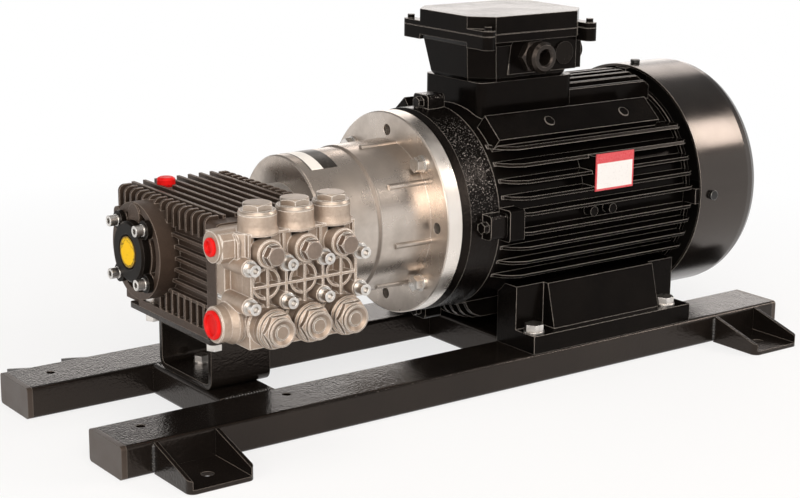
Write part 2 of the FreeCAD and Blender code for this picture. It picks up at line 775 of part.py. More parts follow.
def hex_bolt(x, y, seat, under, radius, flats, height):
    """Upright hexagon bolt: head and washer above a seat, shank below it."""
    washer = rod("z", flats * 0.62, 1.6, x, y, seat)
    head = hexagon("z", flats, height, x, y, seat + 1.6)
    shank = rod("-z", radius, under, x, y, seat)
    return join(washer, head, shank)


bolts = []
for step in (-1, 1):
    bolts.append(hex_bolt(d.ped_x, d.ped_y + step * d.ped_bolt_y, d.rail_h + d.ped_t,
                          d.ped_t + d.rail_t + 8, 4, 13, 5.5))
node("pedestal_bolts", group(*bolts))

bolts = []
for x, y in FOOT_SPOTS:
    shank = rod("z", 4, d.top_t + d.foot_flange_t, x, y, DECK - d.top_t)
    nut = hexagon("-z", 13, 6.5, x, y, DECK - d.top_t)
    head = rod("z", 6.5, 6, x, y, DECK + d.foot_flange_t)
    bolts.append(join(shank, nut, head))
node("pump_foot_bolts", group(*bolts))

# crankcase casting
TOP = AXIS + d.case_top
SKIN = TOP - d.case_fin
CORE0 = X0 + d.case_rib
CORE1 = X1 - d.case_rib
NOSE = -d.case_front - d.case_nose
shell = [
    block(CORE0, CORE1, -d.case_front, d.case_back, DECK, SKIN),
    block(X0, X1, -d.case_front, d.pump_bolt_back + 12, DECK, DECK + d.foot_flange_t),
    round_off(block(X0, X1, NOSE, -d.case_front, DECK + 3, TOP - 3), 5,
              lambda edge: along(edge, 1)),
]
for index in range(int(d.fin_count.v)):
    mid = PX + (index - (d.fin_count - 1) / 2) * d.fin_pitch
    shell.append(block(mid - d.fin_t / 2, mid + d.fin_t / 2, -d.case_front, d.case_back + 5,
                       SKIN, TOP))
turn_in = d.case_rib + d.case_fin
for index in range(int(d.rib_count.v)):
    mid = d.case_back - d.fin_t / 2 - 0.3 - index * d.rib_pitch
    for side in (-1, 1):
        x0 = X0 if side < 0 else X1 - turn_in
        rib = block(x0, x0 + turn_in, mid - d.fin_t / 2, mid + d.fin_t / 2,
                    TOP - d.case_fin - d.rib_turn, TOP)
        edge_x = X0.v if side < 0 else X1.v

        def outer(edge, limit=edge_x):
            level = edge.Vertexes[0].Z > TOP.v - 0.1 and edge.Vertexes[1].Z > TOP.v - 0.1
            return along(edge, 1) and level and abs(edge.Vertexes[0].X - limit) < 0.1

        shell.append(round_off(rib, d.rib_r, outer))
for index in range(int(d.side_count.v)):
    level = SKIN - d.rib_turn - 9 - index * d.side_pitch
    shell.append(block(X0 + 1, X1 - 1, -d.case_front, d.case_back, level, level + d.fin_t))
for index in range(int(d.low_count.v)):
    mid = -d.case_front + 8 + index * d.rib_pitch
    shell.append(block(X0 + 0.5, X1 - 0.5, mid - d.fin_t / 2, mid + d.fin_t / 2,
                       DECK + d.foot_flange_t, DECK + d.foot_flange_t + d.low_h))
FACE = X0 - d.boss_out
BOSS_L = d.boss_out + d.case_rib + 2
ring_pocket = minus(rod("x", d.boss_rim_r, d.boss_pocket + 1, FACE - 1, 0, AXIS),
                    rod("x", d.cover_r + 2, d.boss_pocket + 3, FACE - 2, 0, AXIS))
lugs = []
for a in (-1, 1):
    for b in (-1, 1):
        lugs.append(rod("x", d.cover_ear_r + 1, BOSS_L, FACE, a * d.cover_bolt,
                        AXIS + b * d.cover_bolt))
lugs.append(minus(rod("x", d.boss_pad_r, BOSS_L + 1.5, FACE - 1.5, 0, AXIS + d.boss_pad_z),
                  rod("x", d.cover_r + 0.6, 2.5, FACE - 2.5, 0, AXIS)))
lugs.append(rod("x", 6, BOSS_L - 3, FACE + 3, 41, AXIS + 27))
shell.append(minus(rod("x", d.boss_r, BOSS_L, FACE, 0, AXIS), ring_pocket))
shell.extend(lugs)
shell.append(rod("x", d.boss_r, d.case_rib + 1, CORE1 - 1, 0, AXIS))
FX = PX + d.filler_x
FILL = TOP - d.filler_sink
shell.append(rod("z", d.filler_r + 0.6, d.case_fin + 1, FX, d.filler_y, SKIN - 1))
casting = join(*shell)
hollow = [
    block(CORE0 + d.case_wall, CORE1 - d.case_wall, -d.case_front + 51, d.case_back + 1,
          DECK + d.case_wall + 4, SKIN - d.case_wall),
    rod("x", d.bearing_r, d.case_w + d.boss_out * 2 + 2, X0 - d.boss_out - 1, 0, AXIS),
    rod("z", d.filler_stem_r + 0.1, d.case_fin + d.case_wall + 4, FX, d.filler_y,
        SKIN - d.case_wall - 2),
    rod("z", d.filler_r + 1.2, d.filler_sink + 1, FX, d.filler_y, FILL),
]
for x in CYL:
    hollow.append(rod("y", d.guide_r + d.run_fit, d.case_front + d.case_nose, x, NOSE - 1, AXIS))
STUDS = []
for index in range(4):
    for side in (-1, 1):
        STUDS.append((PX + (index - 1.5) * d.cyl_pitch, AXIS + side * d.rod_z))
for x, z in STUDS:
    hollow.append(rod("y", 4.2, d.head_bolt_in + 3, x, NOSE - 1, z))
for x, y in FOOT_SPOTS:
    hollow.append(rod("z", 4.2, d.foot_flange_t + 2, x, y, DECK - 1))
    hollow.append(rod("z", 8, 14, x, y, DECK + d.foot_flange_t))
for a in (-1, 1):
    for b in (-1, 1):
        hollow.append(rod("x", 3.1, 16, X0 - d.boss_out - 1, a * d.cover_bolt,
                          AXIS + b * d.cover_bolt))
node("crankcase", minus(casting, *hollow))

# rear cover of the crankcase with its screws' seats
cover = prism("crankcase_rear_cover", "y", d.case_back, d.rear_cover_t,
              box_outline(CORE0 + 1, CORE1 - 1, DECK + d.foot_flange_t + 1, SKIN - 2),
              [(PX, DECK + 22, d.drain_r + 0.1)])
soften(cover, 6, lambda edge: along(edge, 1))
node("crankcase_rear_cover", cover)
drain = join(rod("-y", d.drain_r, d.rear_cover_t, PX, d.case_back + d.rear_cover_t, DECK + 22),
             hexagon("y", 17, 7, PX, d.case_back + d.rear_cover_t, DECK + 22))
node("oil_drain_plug", drain)

# bearing cover on the open end of the crankshaft
parts = [turned("bearing_cover_disc", "-x", FACE, 0, AXIS,
                [(0, 0), (d.cover_r, 0), (d.cover_r, d.cover_t - 2), (d.cover_r - 2, d.cover_t),
                 (d.glass_r + 2, d.cover_t), (d.glass_r + 0.1, d.cover_t - d.glass_t),
                 (0, d.cover_t - d.glass_t)]),
         rod("x", d.bearing_r - 0.1, 4, FACE, 0, AXIS)]
for a in (-1, 1):
    for b in (-1, 1):
        parts.append(rod("-x", d.cover_ear_r, d.cover_ear_t, FACE, a * d.cover_bolt,
                         AXIS + b * d.cover_bolt))
drills = []
for a in (-1, 1):
    for b in (-1, 1):
        drills.append(rod("-x", 3.2, d.cover_ear_t + 8, FACE + 2, a * d.cover_bolt,
                          AXIS + b * d.cover_bolt))
        drills.append(rod("-x", d.cover_ear_r - 1.5, 12, FACE - d.cover_ear_t, a * d.cover_bolt,
                          AXIS + b * d.cover_bolt))
node("bearing_cover", minus(join(*parts), *drills))
node("sight_glass", rod("-x", d.glass_r, d.glass_t, FACE - d.cover_t + d.glass_t, 0, AXIS))
screws = []
for a in (-1, 1):
    for b in (-1, 1):
        y = a * d.cover_bolt
        z = AXIS + b * d.cover_bolt
        seat = FACE - d.cover_ear_t
        shank = rod("x", 3, d.cover_ear_t + 12, seat, y, z)
        washer = rod("-x", 5.6, 1.6, seat, y, z)
        head = minus(rod("-x", 5, 7.4, seat - 1.6, y, z),
                     hexagon("x", 5, 3.4, seat - 1.6 - 7.4 - 0.4, y, z))
        screws.append(join(shank, washer, head))
node("bearing_cover_screws", group(*screws))

# flange between crankcase and bell housing
body = turned("pump_flange", "x", X1, 0, AXIS,
              [(d.flange_bore, 0), (d.boss_r, 0), (d.flange_r, 4), (d.flange_r, d.bell_x0 - X1),
               (d.flange_bore, d.bell_x0 - X1)])
node("pump_flange", body)

# oil filler cap, pulled straight up
rim = d.filler_r
cap = turned("filler_cap_head", "z", FX, d.filler_y, FILL, [
    (0, -d.filler_stem_l), (d.filler_stem_r, -d.filler_stem_l), (d.filler_stem_r, 0), (rim - 1.4, 0),
    (rim - 1.4, 1.6), (rim, 1.9), (rim, d.filler_h + 0.8), (rim - 1, d.filler_h + d.filler_sink - 0.6),
    (rim - 2.2, d.filler_h + d.filler_sink), (0, d.filler_h + d.filler_sink)])
node("oil_filler_cap", cap)

# crankshaft: three throws at 120 degrees
shaft = [rod("x", d.journal_r, d.case_w + 60, X0 - 6, 0, AXIS)]
for index, x in enumerate(CYL):
    angle = math.radians(120 * index)
    shaft.append(rod("x", d.throw_r, d.throw_w, x - d.throw_w / 2,
                     -d.throw_e * math.cos(angle), AXIS + d.throw_e * math.sin(angle)))
node("crankshaft", join(*shaft))

rings = []
for x in (X0 - 6, X1 - d.bearing_w - 0.6):
    rings.append(minus(rod("x", d.bearing_r - 0.02, d.bearing_w, x, 0, AXIS),
                       rod("x", d.journal_r + d.run_fit, d.bearing_w + 2, x - 1, 0, AXIS)))
node("crank_bearings", group(*rings))

# crossheads and plungers; each rests where its own throw holds it
SWEEP = d.throw_e + d.throw_r + d.yoke_gap
for index, x in enumerate(CYL):
    shift = -d.throw_e * math.cos(math.radians(120 * index))
    half_y = SWEEP + d.throw_e + 0.6
    ring_out = block(x - d.yoke_w / 2, x + d.yoke_w / 2, shift - half_y - d.yoke_t,
                     shift + half_y + d.yoke_t, AXIS - SWEEP - d.yoke_t, AXIS + SWEEP + d.yoke_t)
    ring_out = round_off(ring_out, 14, lambda edge: along(edge, 0))
    window = block(x - d.yoke_w, x + d.yoke_w, shift - half_y, shift + half_y,
                   AXIS - SWEEP, AXIS + SWEEP)
    window = round_off(window, 12, lambda edge: along(edge, 0))
    root = shift - half_y - d.yoke_t
    start = root - d.rod_neck_l
    neck = rod("-y", d.rod_neck_r, d.rod_neck_l + 4, x, root + 2, AXIS)
    guide = rod("-y", d.guide_r, d.guide_l, x, start, AXIS)
    node("crosshead_%d" % (index + 1), join(minus(ring_out, window), neck, guide))
    plunger = rod("-y", d.plunger_r, d.plunger_l, x, start - d.guide_l, AXIS)
    node("plunger_%d" % (index + 1), plunger)

# manifold head
HX0 = PX - d.head_w / 2
HX1 = PX + d.head_w / 2
HTOP = AXIS + d.head_top
HLOW = AXIS - d.head_low
BACK = NOSE
FLANGE = BACK - d.head_back_t
OUT_Z = AXIS + d.out_z
IN_Z = AXIS - d.in_z
PLUG_Z = AXIS + d.plug_z
SUCK_Z = AXIS - d.suction_z
DECK_Z = AXIS + d.deck_low
RIB_X = [PX - d.deck_span / 2]
for index in range(5):
    RIB_X.append(PX + (index - 2) * d.cyl_pitch / 2)
RIB_X.append(PX + d.deck_span / 2)
blocks = [
    round_off(block(HX0, HX1, FLANGE, BACK, HLOW, HTOP), 5, lambda edge: along(edge, 1)),
    round_off(block(HX0 + 1, HX1 - 1, -d.deck_front, FLANGE, DECK_Z, HTOP), d.deck_r,
              lambda edge: along(edge, 2) and edge.Vertexes[0].Y < FLANGE.v - 1),
    block(HX0 + 6, HX1 - 6, -d.web_wall, FLANGE, IN_Z + 3, DECK_Z + 2),
    block(HX0 + 6, HX1 - 6, -d.suction_face + 8, FLANGE, HLOW, SUCK_Z + 6),
]
webs = []
for x in RIB_X:
    webs.append(block(x - d.deck_rib_t / 2, x + d.deck_rib_t / 2, -d.deck_front - d.deck_rib_out,
                      -d.deck_front + 1, DECK_Z + 4, HTOP))
    webs.append(block(x - d.deck_rib_t / 2, x + d.deck_rib_t / 2, -d.web_face, -d.web_wall + 1,
                      AXIS - d.web_reach, AXIS + d.web_reach))
rails = [
    block(RIB_X[0], RIB_X[-1], -d.deck_front - d.deck_rib_out, -d.deck_front + 1,
          HTOP - d.deck_rib_t, HTOP),
    block(RIB_X[0], RIB_X[-1], -d.web_face, -d.web_wall + 1,
          AXIS - 1.5 - d.deck_rib_t / 2, AXIS - 1.5 + d.deck_rib_t / 2),
]
OUT_X = HX0 - d.out_end
cheek = prism("outlet_cheek", "x", OUT_X + 3, d.out_end + 2, [
    (-d.out_y + d.out_r, OUT_Z - 8), (-d.out_y + 8, OUT_Z - d.out_r), (-d.out_y - 8, OUT_Z - d.out_r),
    (-d.out_y - d.out_r, OUT_Z - 8), (-d.out_y - d.out_r, HTOP - 5), (-d.out_y - d.out_r + 5, HTOP),
    (-d.out_y + d.out_r, HTOP)])
end_plate = prism("deck_end_plate", "x", HX0 - 1, 2.4, [
    (FLANGE, DECK_Z - 4), (6 - d.deck_front, DECK_Z - 4), (1 - d.deck_front, DECK_Z + 4),
    (1 - d.deck_front, HTOP - 7), (6 - d.deck_front, HTOP - 1), (FLANGE, HTOP - 1)])
barrels = [
    turned("inlet_barrel", "x", HX0 - d.in_end, -d.in_y, IN_Z, [
        (0, 0), (d.in_r - 4, 0), (d.in_r - 3, 1), (d.in_r - 3, 9), (d.in_r, 15), (d.in_r, 18),
        (d.in_r - 1.5, 20), (d.in_r - 1.5, d.head_w + d.in_end), (0, d.head_w + d.in_end)]),
    rod("x", d.out_r, d.head_w + d.out_end, OUT_X, -d.out_y, OUT_Z),
]
towers = []
suctions = []
sleeves = []
bosses = []
for x in CYL:
    root = d.tower_r + d.tower_flare
    towers.append(turned(fresh("tower"), "z", x, -d.tower_y, HTOP, [
        (0, -8), (root, -2.4), (root, -0.4), (d.tower_r + 0.5, 2.4), (d.tower_r, 5),
        (d.tower_r, d.tower_top - d.head_top), (0, d.tower_top - d.head_top)]))
    suctions.append(turned(fresh("suction_boss"), "-y", x, FLANGE, SUCK_Z, [
        (0, 0), (d.suction_r, 0), (d.suction_r, 28), (d.suction_r - 1.4, 29.4),
        (d.suction_r - 1.4, d.suction_face + FLANGE),
        (0, d.suction_face + FLANGE)]))
    face = d.barrel_face + FLANGE
    sleeves.append(turned(fresh("sleeve"), "-y", x, FLANGE, AXIS, [
        (0, 0), (d.barrel_r, 0), (d.barrel_r, face), (d.barrel_r - d.barrel_rim, face),
        (d.barrel_r - d.barrel_rim - 1, face - d.barrel_deep), (0, face - d.barrel_deep)]))
    bosses.append(turned(fresh("plug_boss"), "-y", x, FLANGE, PLUG_Z, [
        (0, 0), (d.plug_r, 0), (d.plug_r, d.plug_face + FLANGE - 1),
        (d.plug_r - 1, d.plug_face + FLANGE), (0, d.plug_face + FLANGE)]))
lobes = []
for x, z in STUDS:
    lobes.append(rod("-y", d.stud_r, d.stud_face + FLANGE, x, FLANGE, z))
cast_head = join(*blocks)
for lumps in (barrels, [cheek], [end_plate], towers, suctions, sleeves, webs, rails, bosses, lobes):
    cast_head = weld(cast_head, group(*lumps))
galleries = [
    rod("x", d.out_bore, d.head_w + d.out_end - 10, OUT_X - 1, -d.out_y, OUT_Z),
    rod("x", d.in_bore, d.head_w + d.in_end - 10, HX0 - d.in_end - 1, -d.in_y, IN_Z),
]
chambers = []
inlets = []
drillings = []
for x in CYL:
    chambers.append(rod("-z", d.valve_bore, 40, x, -d.tower_y, AXIS + d.tower_top + 1))
    inlets.append(rod("y", d.valve_bore, 36, x, -d.suction_face - 1, SUCK_Z))
    inlets.append(rod("-y", d.plunger_r + 2, 30, x, BACK + 1, AXIS))
    drillings.append(rod("y", 5.1, 30, x, -d.plug_face - 1, PLUG_Z))
for x, z in STUDS:
    drillings.append(rod("-y", 4.2, d.stud_face + BACK + 4, x, BACK + 2, z))
bored = cast_head
for tools in (galleries, chambers, inlets, drillings):
    bored = minus(bored, group(*tools))
node("manifold_head", bored)

caps = []
plugs = []
lids = []
for x in CYL:
    top = AXIS + d.tower_top
    caps.append(join(rod("-z", d.valve_bore - 0.1, 14, x, -d.tower_y, top),
                     turned(fresh("cap_rim"), "z", x, -d.tower_y, top, [
                         (0, 0), (d.tower_r, 0), (d.tower_r, 1.2), (d.tower_r - 1.1, d.cap_rim_t),
                         (0, d.cap_rim_t)]),
                     hex_head("z", d.cap_hex, d.cap_hex_h, x, -d.tower_y, top + d.cap_rim_t)))
    seat = -d.plug_face
    z = PLUG_Z
    plugs.append(join(rod("y", 5, 12, x, seat, z),
                      rod("-y", d.plug_collar_r, d.plug_collar_t, x, seat, z),
                      hex_head("-y", d.plug_hex, d.plug_hex_h, x, seat - d.plug_collar_t, z)))
    seat = -d.suction_face
    z = SUCK_Z
    rim = d.suction_cap_r
    front = d.suction_cap_t
    lid = turned(fresh("suction_cap"), "-y", x, seat, z,
                 [(0, 0), (rim, 0), (rim, 5), (rim - 1.6, 6.5), (rim - 1.6, 9),
                  (rim - 3, 10), (0, 10)])
    dome = turned(fresh("suction_dish"), "-y", x, seat, z, [
        (0, 14), (12.6, 14), (12.6, front - 0.8), (11.8, front), (10.6, front), (7.2, front - 2.6),
        (6.2, front - 2.6), (5.7, front - 1.4), (0, front - 1.4)])
    lids.append(join(rod("y", d.valve_bore - 0.1, 16, x, seat, z), lid,
                     hex_head("-y", d.suction_hex, 6, x, seat - 9.5, z), dome))
node("discharge_valve_caps", group(*caps))
node("gallery_plugs", group(*plugs))
node("suction_valve_caps", group(*lids))

screws = []
for x, z in STUDS:
    seat = -d.stud_face
    shank = rod("y", 4, d.stud_face + BACK + d.head_bolt_in, x, seat, z)
    washer = rod("-y", d.head_washer_r, 2, x, seat, z)
    crown = minus(rod("-y", d.head_screw_r, d.head_screw_h, x, seat - 2, z),
                  hexagon("y", 5, 4, x, seat - 2 - d.head_screw_h - 0.4, z))
    screws.append(join(shank, washer, crown))
node("head_bolts", group(*screws))


def port_plug(name, x, y, z, radius, bore):
    """Push-in port plug with a recessed face."""
    corners = [(0, -8), (bore - 0.3, -8), (bore - 0.1, 0), (radius, 0), (radius, 2), (radius - 1, 3),
               (bore - 1.5, 3), (bore - 2.5, 0.6), (0, 0.6)]
    return node(name, turned(name, "-x", x, y, z, corners))


port_plug("outlet_plug", OUT_X, -d.out_y, OUT_Z, d.out_plug_r, d.out_bore)
port_plug("inlet_plug", HX0 - d.in_end, -d.in_y, IN_Z, d.in_plug_r, d.in_bore)

seals = []
for x in CYL:
    seals.append(minus(rod("-y", d.plunger_r + 1.95, 11, x, BACK, AXIS),
                       rod("-y", d.plunger_r + d.run_fit, 13, x, BACK + 1, AXIS)))
node("seal_carriers", group(*seals))

# bell housing: turned casting, open towards the motor
bell = turned("bell_housing", "x", d.bell_x0, 0, AXIS, [
    (d.hub_r - 4, 0), (d.bell_r0 - 1.5, 0), (d.bell_r0, 1.5),
    (d.bell_r0 + 1, d.bell_step - d.bell_x0), (d.bell_r1 - 1, d.bell_step - d.bell_x0 + 2),
    (d.bell_r1, d.flange_x0 - d.bell_x0), (d.flange_or - 1, d.flange_x0 - d.bell_x0),
    (d.flange_or, d.flange_x0 - d.bell_x0 + 1), (d.flange_or, d.flange_x1 - d.bell_x0),
    (d.bell_r1 - d.bell_wall, d.flange_x1 - d.bell_x0),
    (d.bell_r0 - d.bell_wall, d.bell_nose_t), (d.hub_r - 4, d.bell_nose_t)])
ribs = []
for index in range(8):
    angle = math.radians(45 * index + 11)
    y = (d.bell_r1 - 1) * math.cos(angle)
    z = AXIS + (d.bell_r1 - 1) * math.sin(angle)
    ribs.append(rod("-x", 3, 42, d.flange_x0 + 1, y, z))
drills = []
for index in range(8):
    angle = math.radians(45 * index)
    y = d.flange_pcd_r * math.cos(angle)
    z = AXIS + d.flange_pcd_r * math.sin(angle)
    drills.append(rod("x", d.flange_hole_r, 24, d.flange_x0 - 3, y, z))
node("bell_housing", minus(join(bell, *ribs), *drills))

bolts = []
for index in range(4):
    angle = math.radians(90 * index + 45)
    y = d.flange_pcd_r * math.cos(angle)
    z = AXIS + d.flange_pcd_r * math.sin(angle)
    shank = rod("x", 5, 29, d.flange_x0, y, z)
    washer = rod("-x", 8.5, 2, d.flange_x0, y, z)
    bolts.append(join(shank, washer, hexagon("-x", 13, d.bell_bolt_h, d.flange_x0 - 2, y, z)))
node("bell_bolts", group(*bolts))

# coupling between crankshaft and motor shaft
SHAFT_END = d.flange_x1 - d.shaft_out
hub_a = turned("coupling_pump_hub", "x", d.bell_x0 + 20, 0, AXIS,
               [(d.journal_r + 0.02, 0), (d.hub_r - 12, 0), (d.hub_r - 12, 6), (d.hub_r, 8),
                (d.hub_r, 22), (d.journal_r + 0.02, 22)])
node("coupling_pump_hub", hub_a)
hub_b = turned("coupling_motor_hub", "x", d.bell_x0 + 42, 0, AXIS,
               [(0, 0), (d.hub_r, 0), (d.hub_r, 14), (d.hub_r - 10, 18), (d.hub_r - 10, 50),
                (d.shaft_r + 0.02, 50), (d.shaft_r + 0.02, SHAFT_END - d.bell_x0 - 42),
                (0, SHAFT_END - d.bell_x0 - 42)])
node("coupling_motor_hub", hub_b)

# motor
SH0 = d.flange_x1
shield = turned("front_endshield", "x", SH0, 0, AXIS, [
    (d.shaft_r + d.run_fit, 0), (d.shield_r - 8, 0), (d.shield_r, 10), (d.shield_r, 36),
    (d.motor_r, d.motor_x0 - SH0), (d.motor_r - d.motor_wall, d.motor_x0 - SH0),
    (d.motor_r - d.motor_wall, d.shield_t + 14), (d.shaft_r + d.run_fit, d.shield_t + 14)])
lugs = []
for index in range(4):
    turn = Rotation(Vector(1, 0, 0), 90 * index)
    lug = doc.addObject("Part::Box", fresh("lug"))
    bind(lug, "Length", d.lug_l)
    bind(lug, "Width", d.lug_w)
    bind(lug, "Height", 20)
    up = turn.multVec(Vector(0, 0, 1))
    out = turn.multVec(Vector(0, 1, 0))
    base = d.lug_out - 20
    put(lug, d.motor_x0 - d.lug_l, base * round(up.y, 9) - d.lug_w / 2 * round(out.y, 9),
        AXIS + base * round(up.z, 9) - d.lug_w / 2 * round(out.z, 9), turn)
    lugs.append(round_off(lug, 4, lambda edge, way=up: along(edge, 0) and
                          edge.CenterOfMass.sub(Vector(0, 0, AXIS.v)).dot(way) > base.v + 5))
    reach = d.lug_out - 8
    lugs.append(hexagon("-x", 10, 6, d.motor_x0 - d.lug_l, reach * round(up.y, 9),
                        AXIS + reach * round(up.z, 9)))
holes = []
for index in range(4):
    angle = math.radians(90 * index + 45)
    y = d.flange_pcd_r * math.cos(angle)
    z = AXIS + d.flange_pcd_r * math.sin(angle)
    holes.append(rod("x", 5.1, 20, SH0 - 1, y, z))
node("front_endshield", minus(join(shield, *lugs), *holes))

# finned barrel: level fins on the flanks, upright fins on top and below
ML = d.motor_x1 - d.motor_x0
low = d.motor_r + 0.6
envelope = turned("fin_envelope", "x", d.motor_x0, 0, AXIS, [
    (0, 0), (low, 0), (low, d.mfin_lead * 0.3), (low + 7, d.mfin_lead * 0.5),
    (low + 12, d.mfin_lead * 0.8), (d.motor_tip, d.mfin_lead * 1.3), (d.motor_tip, ML - 6),
    (d.motor_tip - 4, ML), (0, ML)])
fins = [rod("x", d.motor_r, ML, d.motor_x0, 0, AXIS)]
for index in range(int(d.mfin_count.v)):
    for side in (-1, 1):
        if side < 0 and index == int(d.mfin_count.v) - 1:
            continue
        z = AXIS + side * (d.mfin_first + index * d.mfin_pitch)
        fins.append(block(d.motor_x0 + 4, d.motor_x1, -d.motor_tip, d.motor_tip,
                          z - d.mfin_t / 2, z + d.mfin_t / 2))
NECK0 = d.box_x0 + d.neck_in
NECK1 = d.box_x1 - d.neck_in
for index in range(4):
    for side in (-1, 1):
        y = side * (index + 0.5) * d.tfin_pitch
        fins.append(block(NECK1 - 4, d.motor_x1, y - d.mfin_t / 2, y + d.mfin_t / 2,
                          AXIS, AXIS + d.motor_tip))
        fins.append(block(d.motor_x0 + 4, d.motor_x1, y - d.mfin_t / 2, y + d.mfin_t / 2,
                          AXIS - d.motor_tip, AXIS))
barrel = both(join(*fins), envelope)
bore = rod("x", d.motor_r - d.motor_wall, ML + 2, d.motor_x0 - 1, 0, AXIS)
neck = block(NECK0, NECK1, -d.box_w / 2 + d.neck_in, d.box_w / 2 - d.neck_in,
             AXIS + d.motor_r - 24, d.box_low)
neck = round_off(neck, d.neck_r, lambda edge: along(edge, 2))
room = minus(neck, block(NECK0 + 8, NECK1 - 8, -d.box_w / 2 + d.neck_in + 8,
                         d.box_w / 2 - d.neck_in - 8, AXIS + d.motor_r - 30, d.box_low + 1))
plate_pad = block(d.label_x - d.label_w / 2 + 3, d.label_x + d.label_w / 2 - 3,
                  -d.motor_tip - 0.4, -d.motor_r + 12, d.label_z + 3,
                  d.label_z + d.label_h - 3)
pads = []
taps = []
for side in (-1, 1):
    turn = Rotation(Vector(1, 0, 0), -side * d.pad_angle.v)
    pad_block = doc.addObject("Part::Box", fresh("pad_block"))
    bind(pad_block, "Length", d.pad_x1 - d.motor_x0 - 8)
    bind(pad_block, "Width", d.pad_w)
    bind(pad_block, "Height", 24)
    up = turn.multVec(Vector(0, 0, 1))
    out = turn.multVec(Vector(0, 1, 0))
    base = d.pad_face - 24
    put(pad_block, d.motor_x0 + 8, base * up.y - d.pad_w / 2 * out.y,
        AXIS + base * up.z - d.pad_w / 2 * out.z, turn)
    pads.append(pad_block)
    for step in (0, 1):
        x = d.pad_hole_x + step * d.pad_hole_l
        for radius, start, length, target in ((d.pad_hole_r + 2, 10, 10.8, pads),
                                              (d.pad_hole_r, 6, 6, taps)):
            pin = doc.addObject("Part::Cylinder", fresh("tap"))
            bind(pin, "Radius", radius)
            bind(pin, "Height", length)
            reach = d.pad_face - start
            put(pin, x, reach * up.y, AXIS + reach * up.z, turn)
            target.append(pin)
    lug_y = [-d.block_out, -d.motor_r + 10] if side < 0 else [d.motor_r - 10, d.block_out]
    pads.append(round_off(block(d.motor_x0, d.motor_x0 + d.block_l, lug_y[0], lug_y[1],
                                AXIS - d.block_w / 2, AXIS + d.block_w / 2), 3,
                          lambda edge: along(edge, 0)))
    for x in (d.motor_x0 + 113, d.motor_x0 + 138):
        start = side * (d.motor_r - 10)
        pads.append(rod("y" if side > 0 else "-y", 5, 20, x, start, AXIS))
body_set = join(barrel, room, plate_pad)
for lump in pads:
    body_set = weld(body_set, lump)
node("motor_frame", minus(body_set, bore, *taps))

# the two cast feet, bolted under the barrel
for side_name, side in (("front", -1), ("rear", 1)):
    foot_z = d.rail_h
    bar_x0 = d.motor_bolt_x - d.foot_bar_lead
    bar_x1 = d.motor_bolt_x + d.motor_bolt_l + d.foot_bar_tail
    wall_x0 = d.motor_bolt_x + d.foot_end_first
    wall_x1 = d.motor_bolt_x + d.motor_bolt_l - d.foot_end_last
    ledge = foot_z + d.foot_bar_t
    wall_top = AXIS - d.foot_wall_top
    wall = [(side * d.foot_bar_y, foot_z), (side * d.foot_bar_y, ledge),
            (side * d.foot_wall_y, ledge), (side * d.foot_wall_top_y, wall_top),
            (side * 64, wall_top), (side * 64, foot_z)]
    name = "motor_foot_" + side_name
    foot_body = prism(name, "x", bar_x0, bar_x1 - bar_x0, wall)
    cuts = []
    for x0, x1 in ((bar_x0 - 1, wall_x0), (wall_x1, bar_x1 + 1)):
        near = side * d.foot_end_y
        far = side * (d.foot_bar_y + 8)
        cuts.append(block(x0, x1, far if side < 0 else near, near if side < 0 else far,
                          ledge, AXIS))
    cuts.append(rod("x", d.motor_r + d.seat_fit, bar_x1 - bar_x0 + 4, bar_x0 - 2, 0, AXIS))
    for step in (0, 1):
        cuts.append(rod("z", d.motor_bolt_r + 0.3, 40, d.motor_bolt_x + step * d.motor_bolt_l,
                        side * d.motor_bolt_y, foot_z - 1))
    node(name, minus(foot_body, *cuts))
bolts = []
for side in (-1, 1):
    for step in (0, 1):
        bolts.append(hex_bolt(d.motor_bolt_x + step * d.motor_bolt_l, side * d.motor_bolt_y,
                              d.rail_h + d.foot_bar_t, d.foot_bar_t + 12, d.motor_bolt_r, 17, 7))
node("motor_foot_bolts", group(*bolts))

rear = turned("rear_shield_disc", "x", d.motor_x1, 0, AXIS, [
    (d.tail_r + d.run_fit, 0), (d.motor_r + 4, 0), (d.motor_r + 4, 5), (d.motor_r - 12, 8),
    (40, 14), (d.tail_r + d.run_fit, 14)])
LUG = d.cowl_r - d.cowl_t - d.seat_fit
lugs = []
drills = []
for index in range(4):
    turn = Rotation(Vector(1, 0, 0), 90 * index)
    lug = doc.addObject("Part::Box", fresh("lug"))
    bind(lug, "Length", d.cowl_x0 + 26 - d.motor_x1)
    bind(lug, "Width", 16)
    bind(lug, "Height", LUG - 84)
    offset = turn.multVec(Vector(0, -8, 84))
    put(lug, d.motor_x1, offset.y, AXIS + offset.z, turn)
    lugs.append(lug)
    drill = doc.addObject("Part::Cylinder", fresh("drill"))
    bind(drill, "Radius", 2.7)
    bind(drill, "Height", 30)
    offset = turn.multVec(Vector(0, 0, 100))
    put(drill, d.cowl_x0 + 16, offset.y, AXIS + offset.z, turn)
    drills.append(drill)
node("rear_endshield", minus(join(rear, *lugs), *drills))

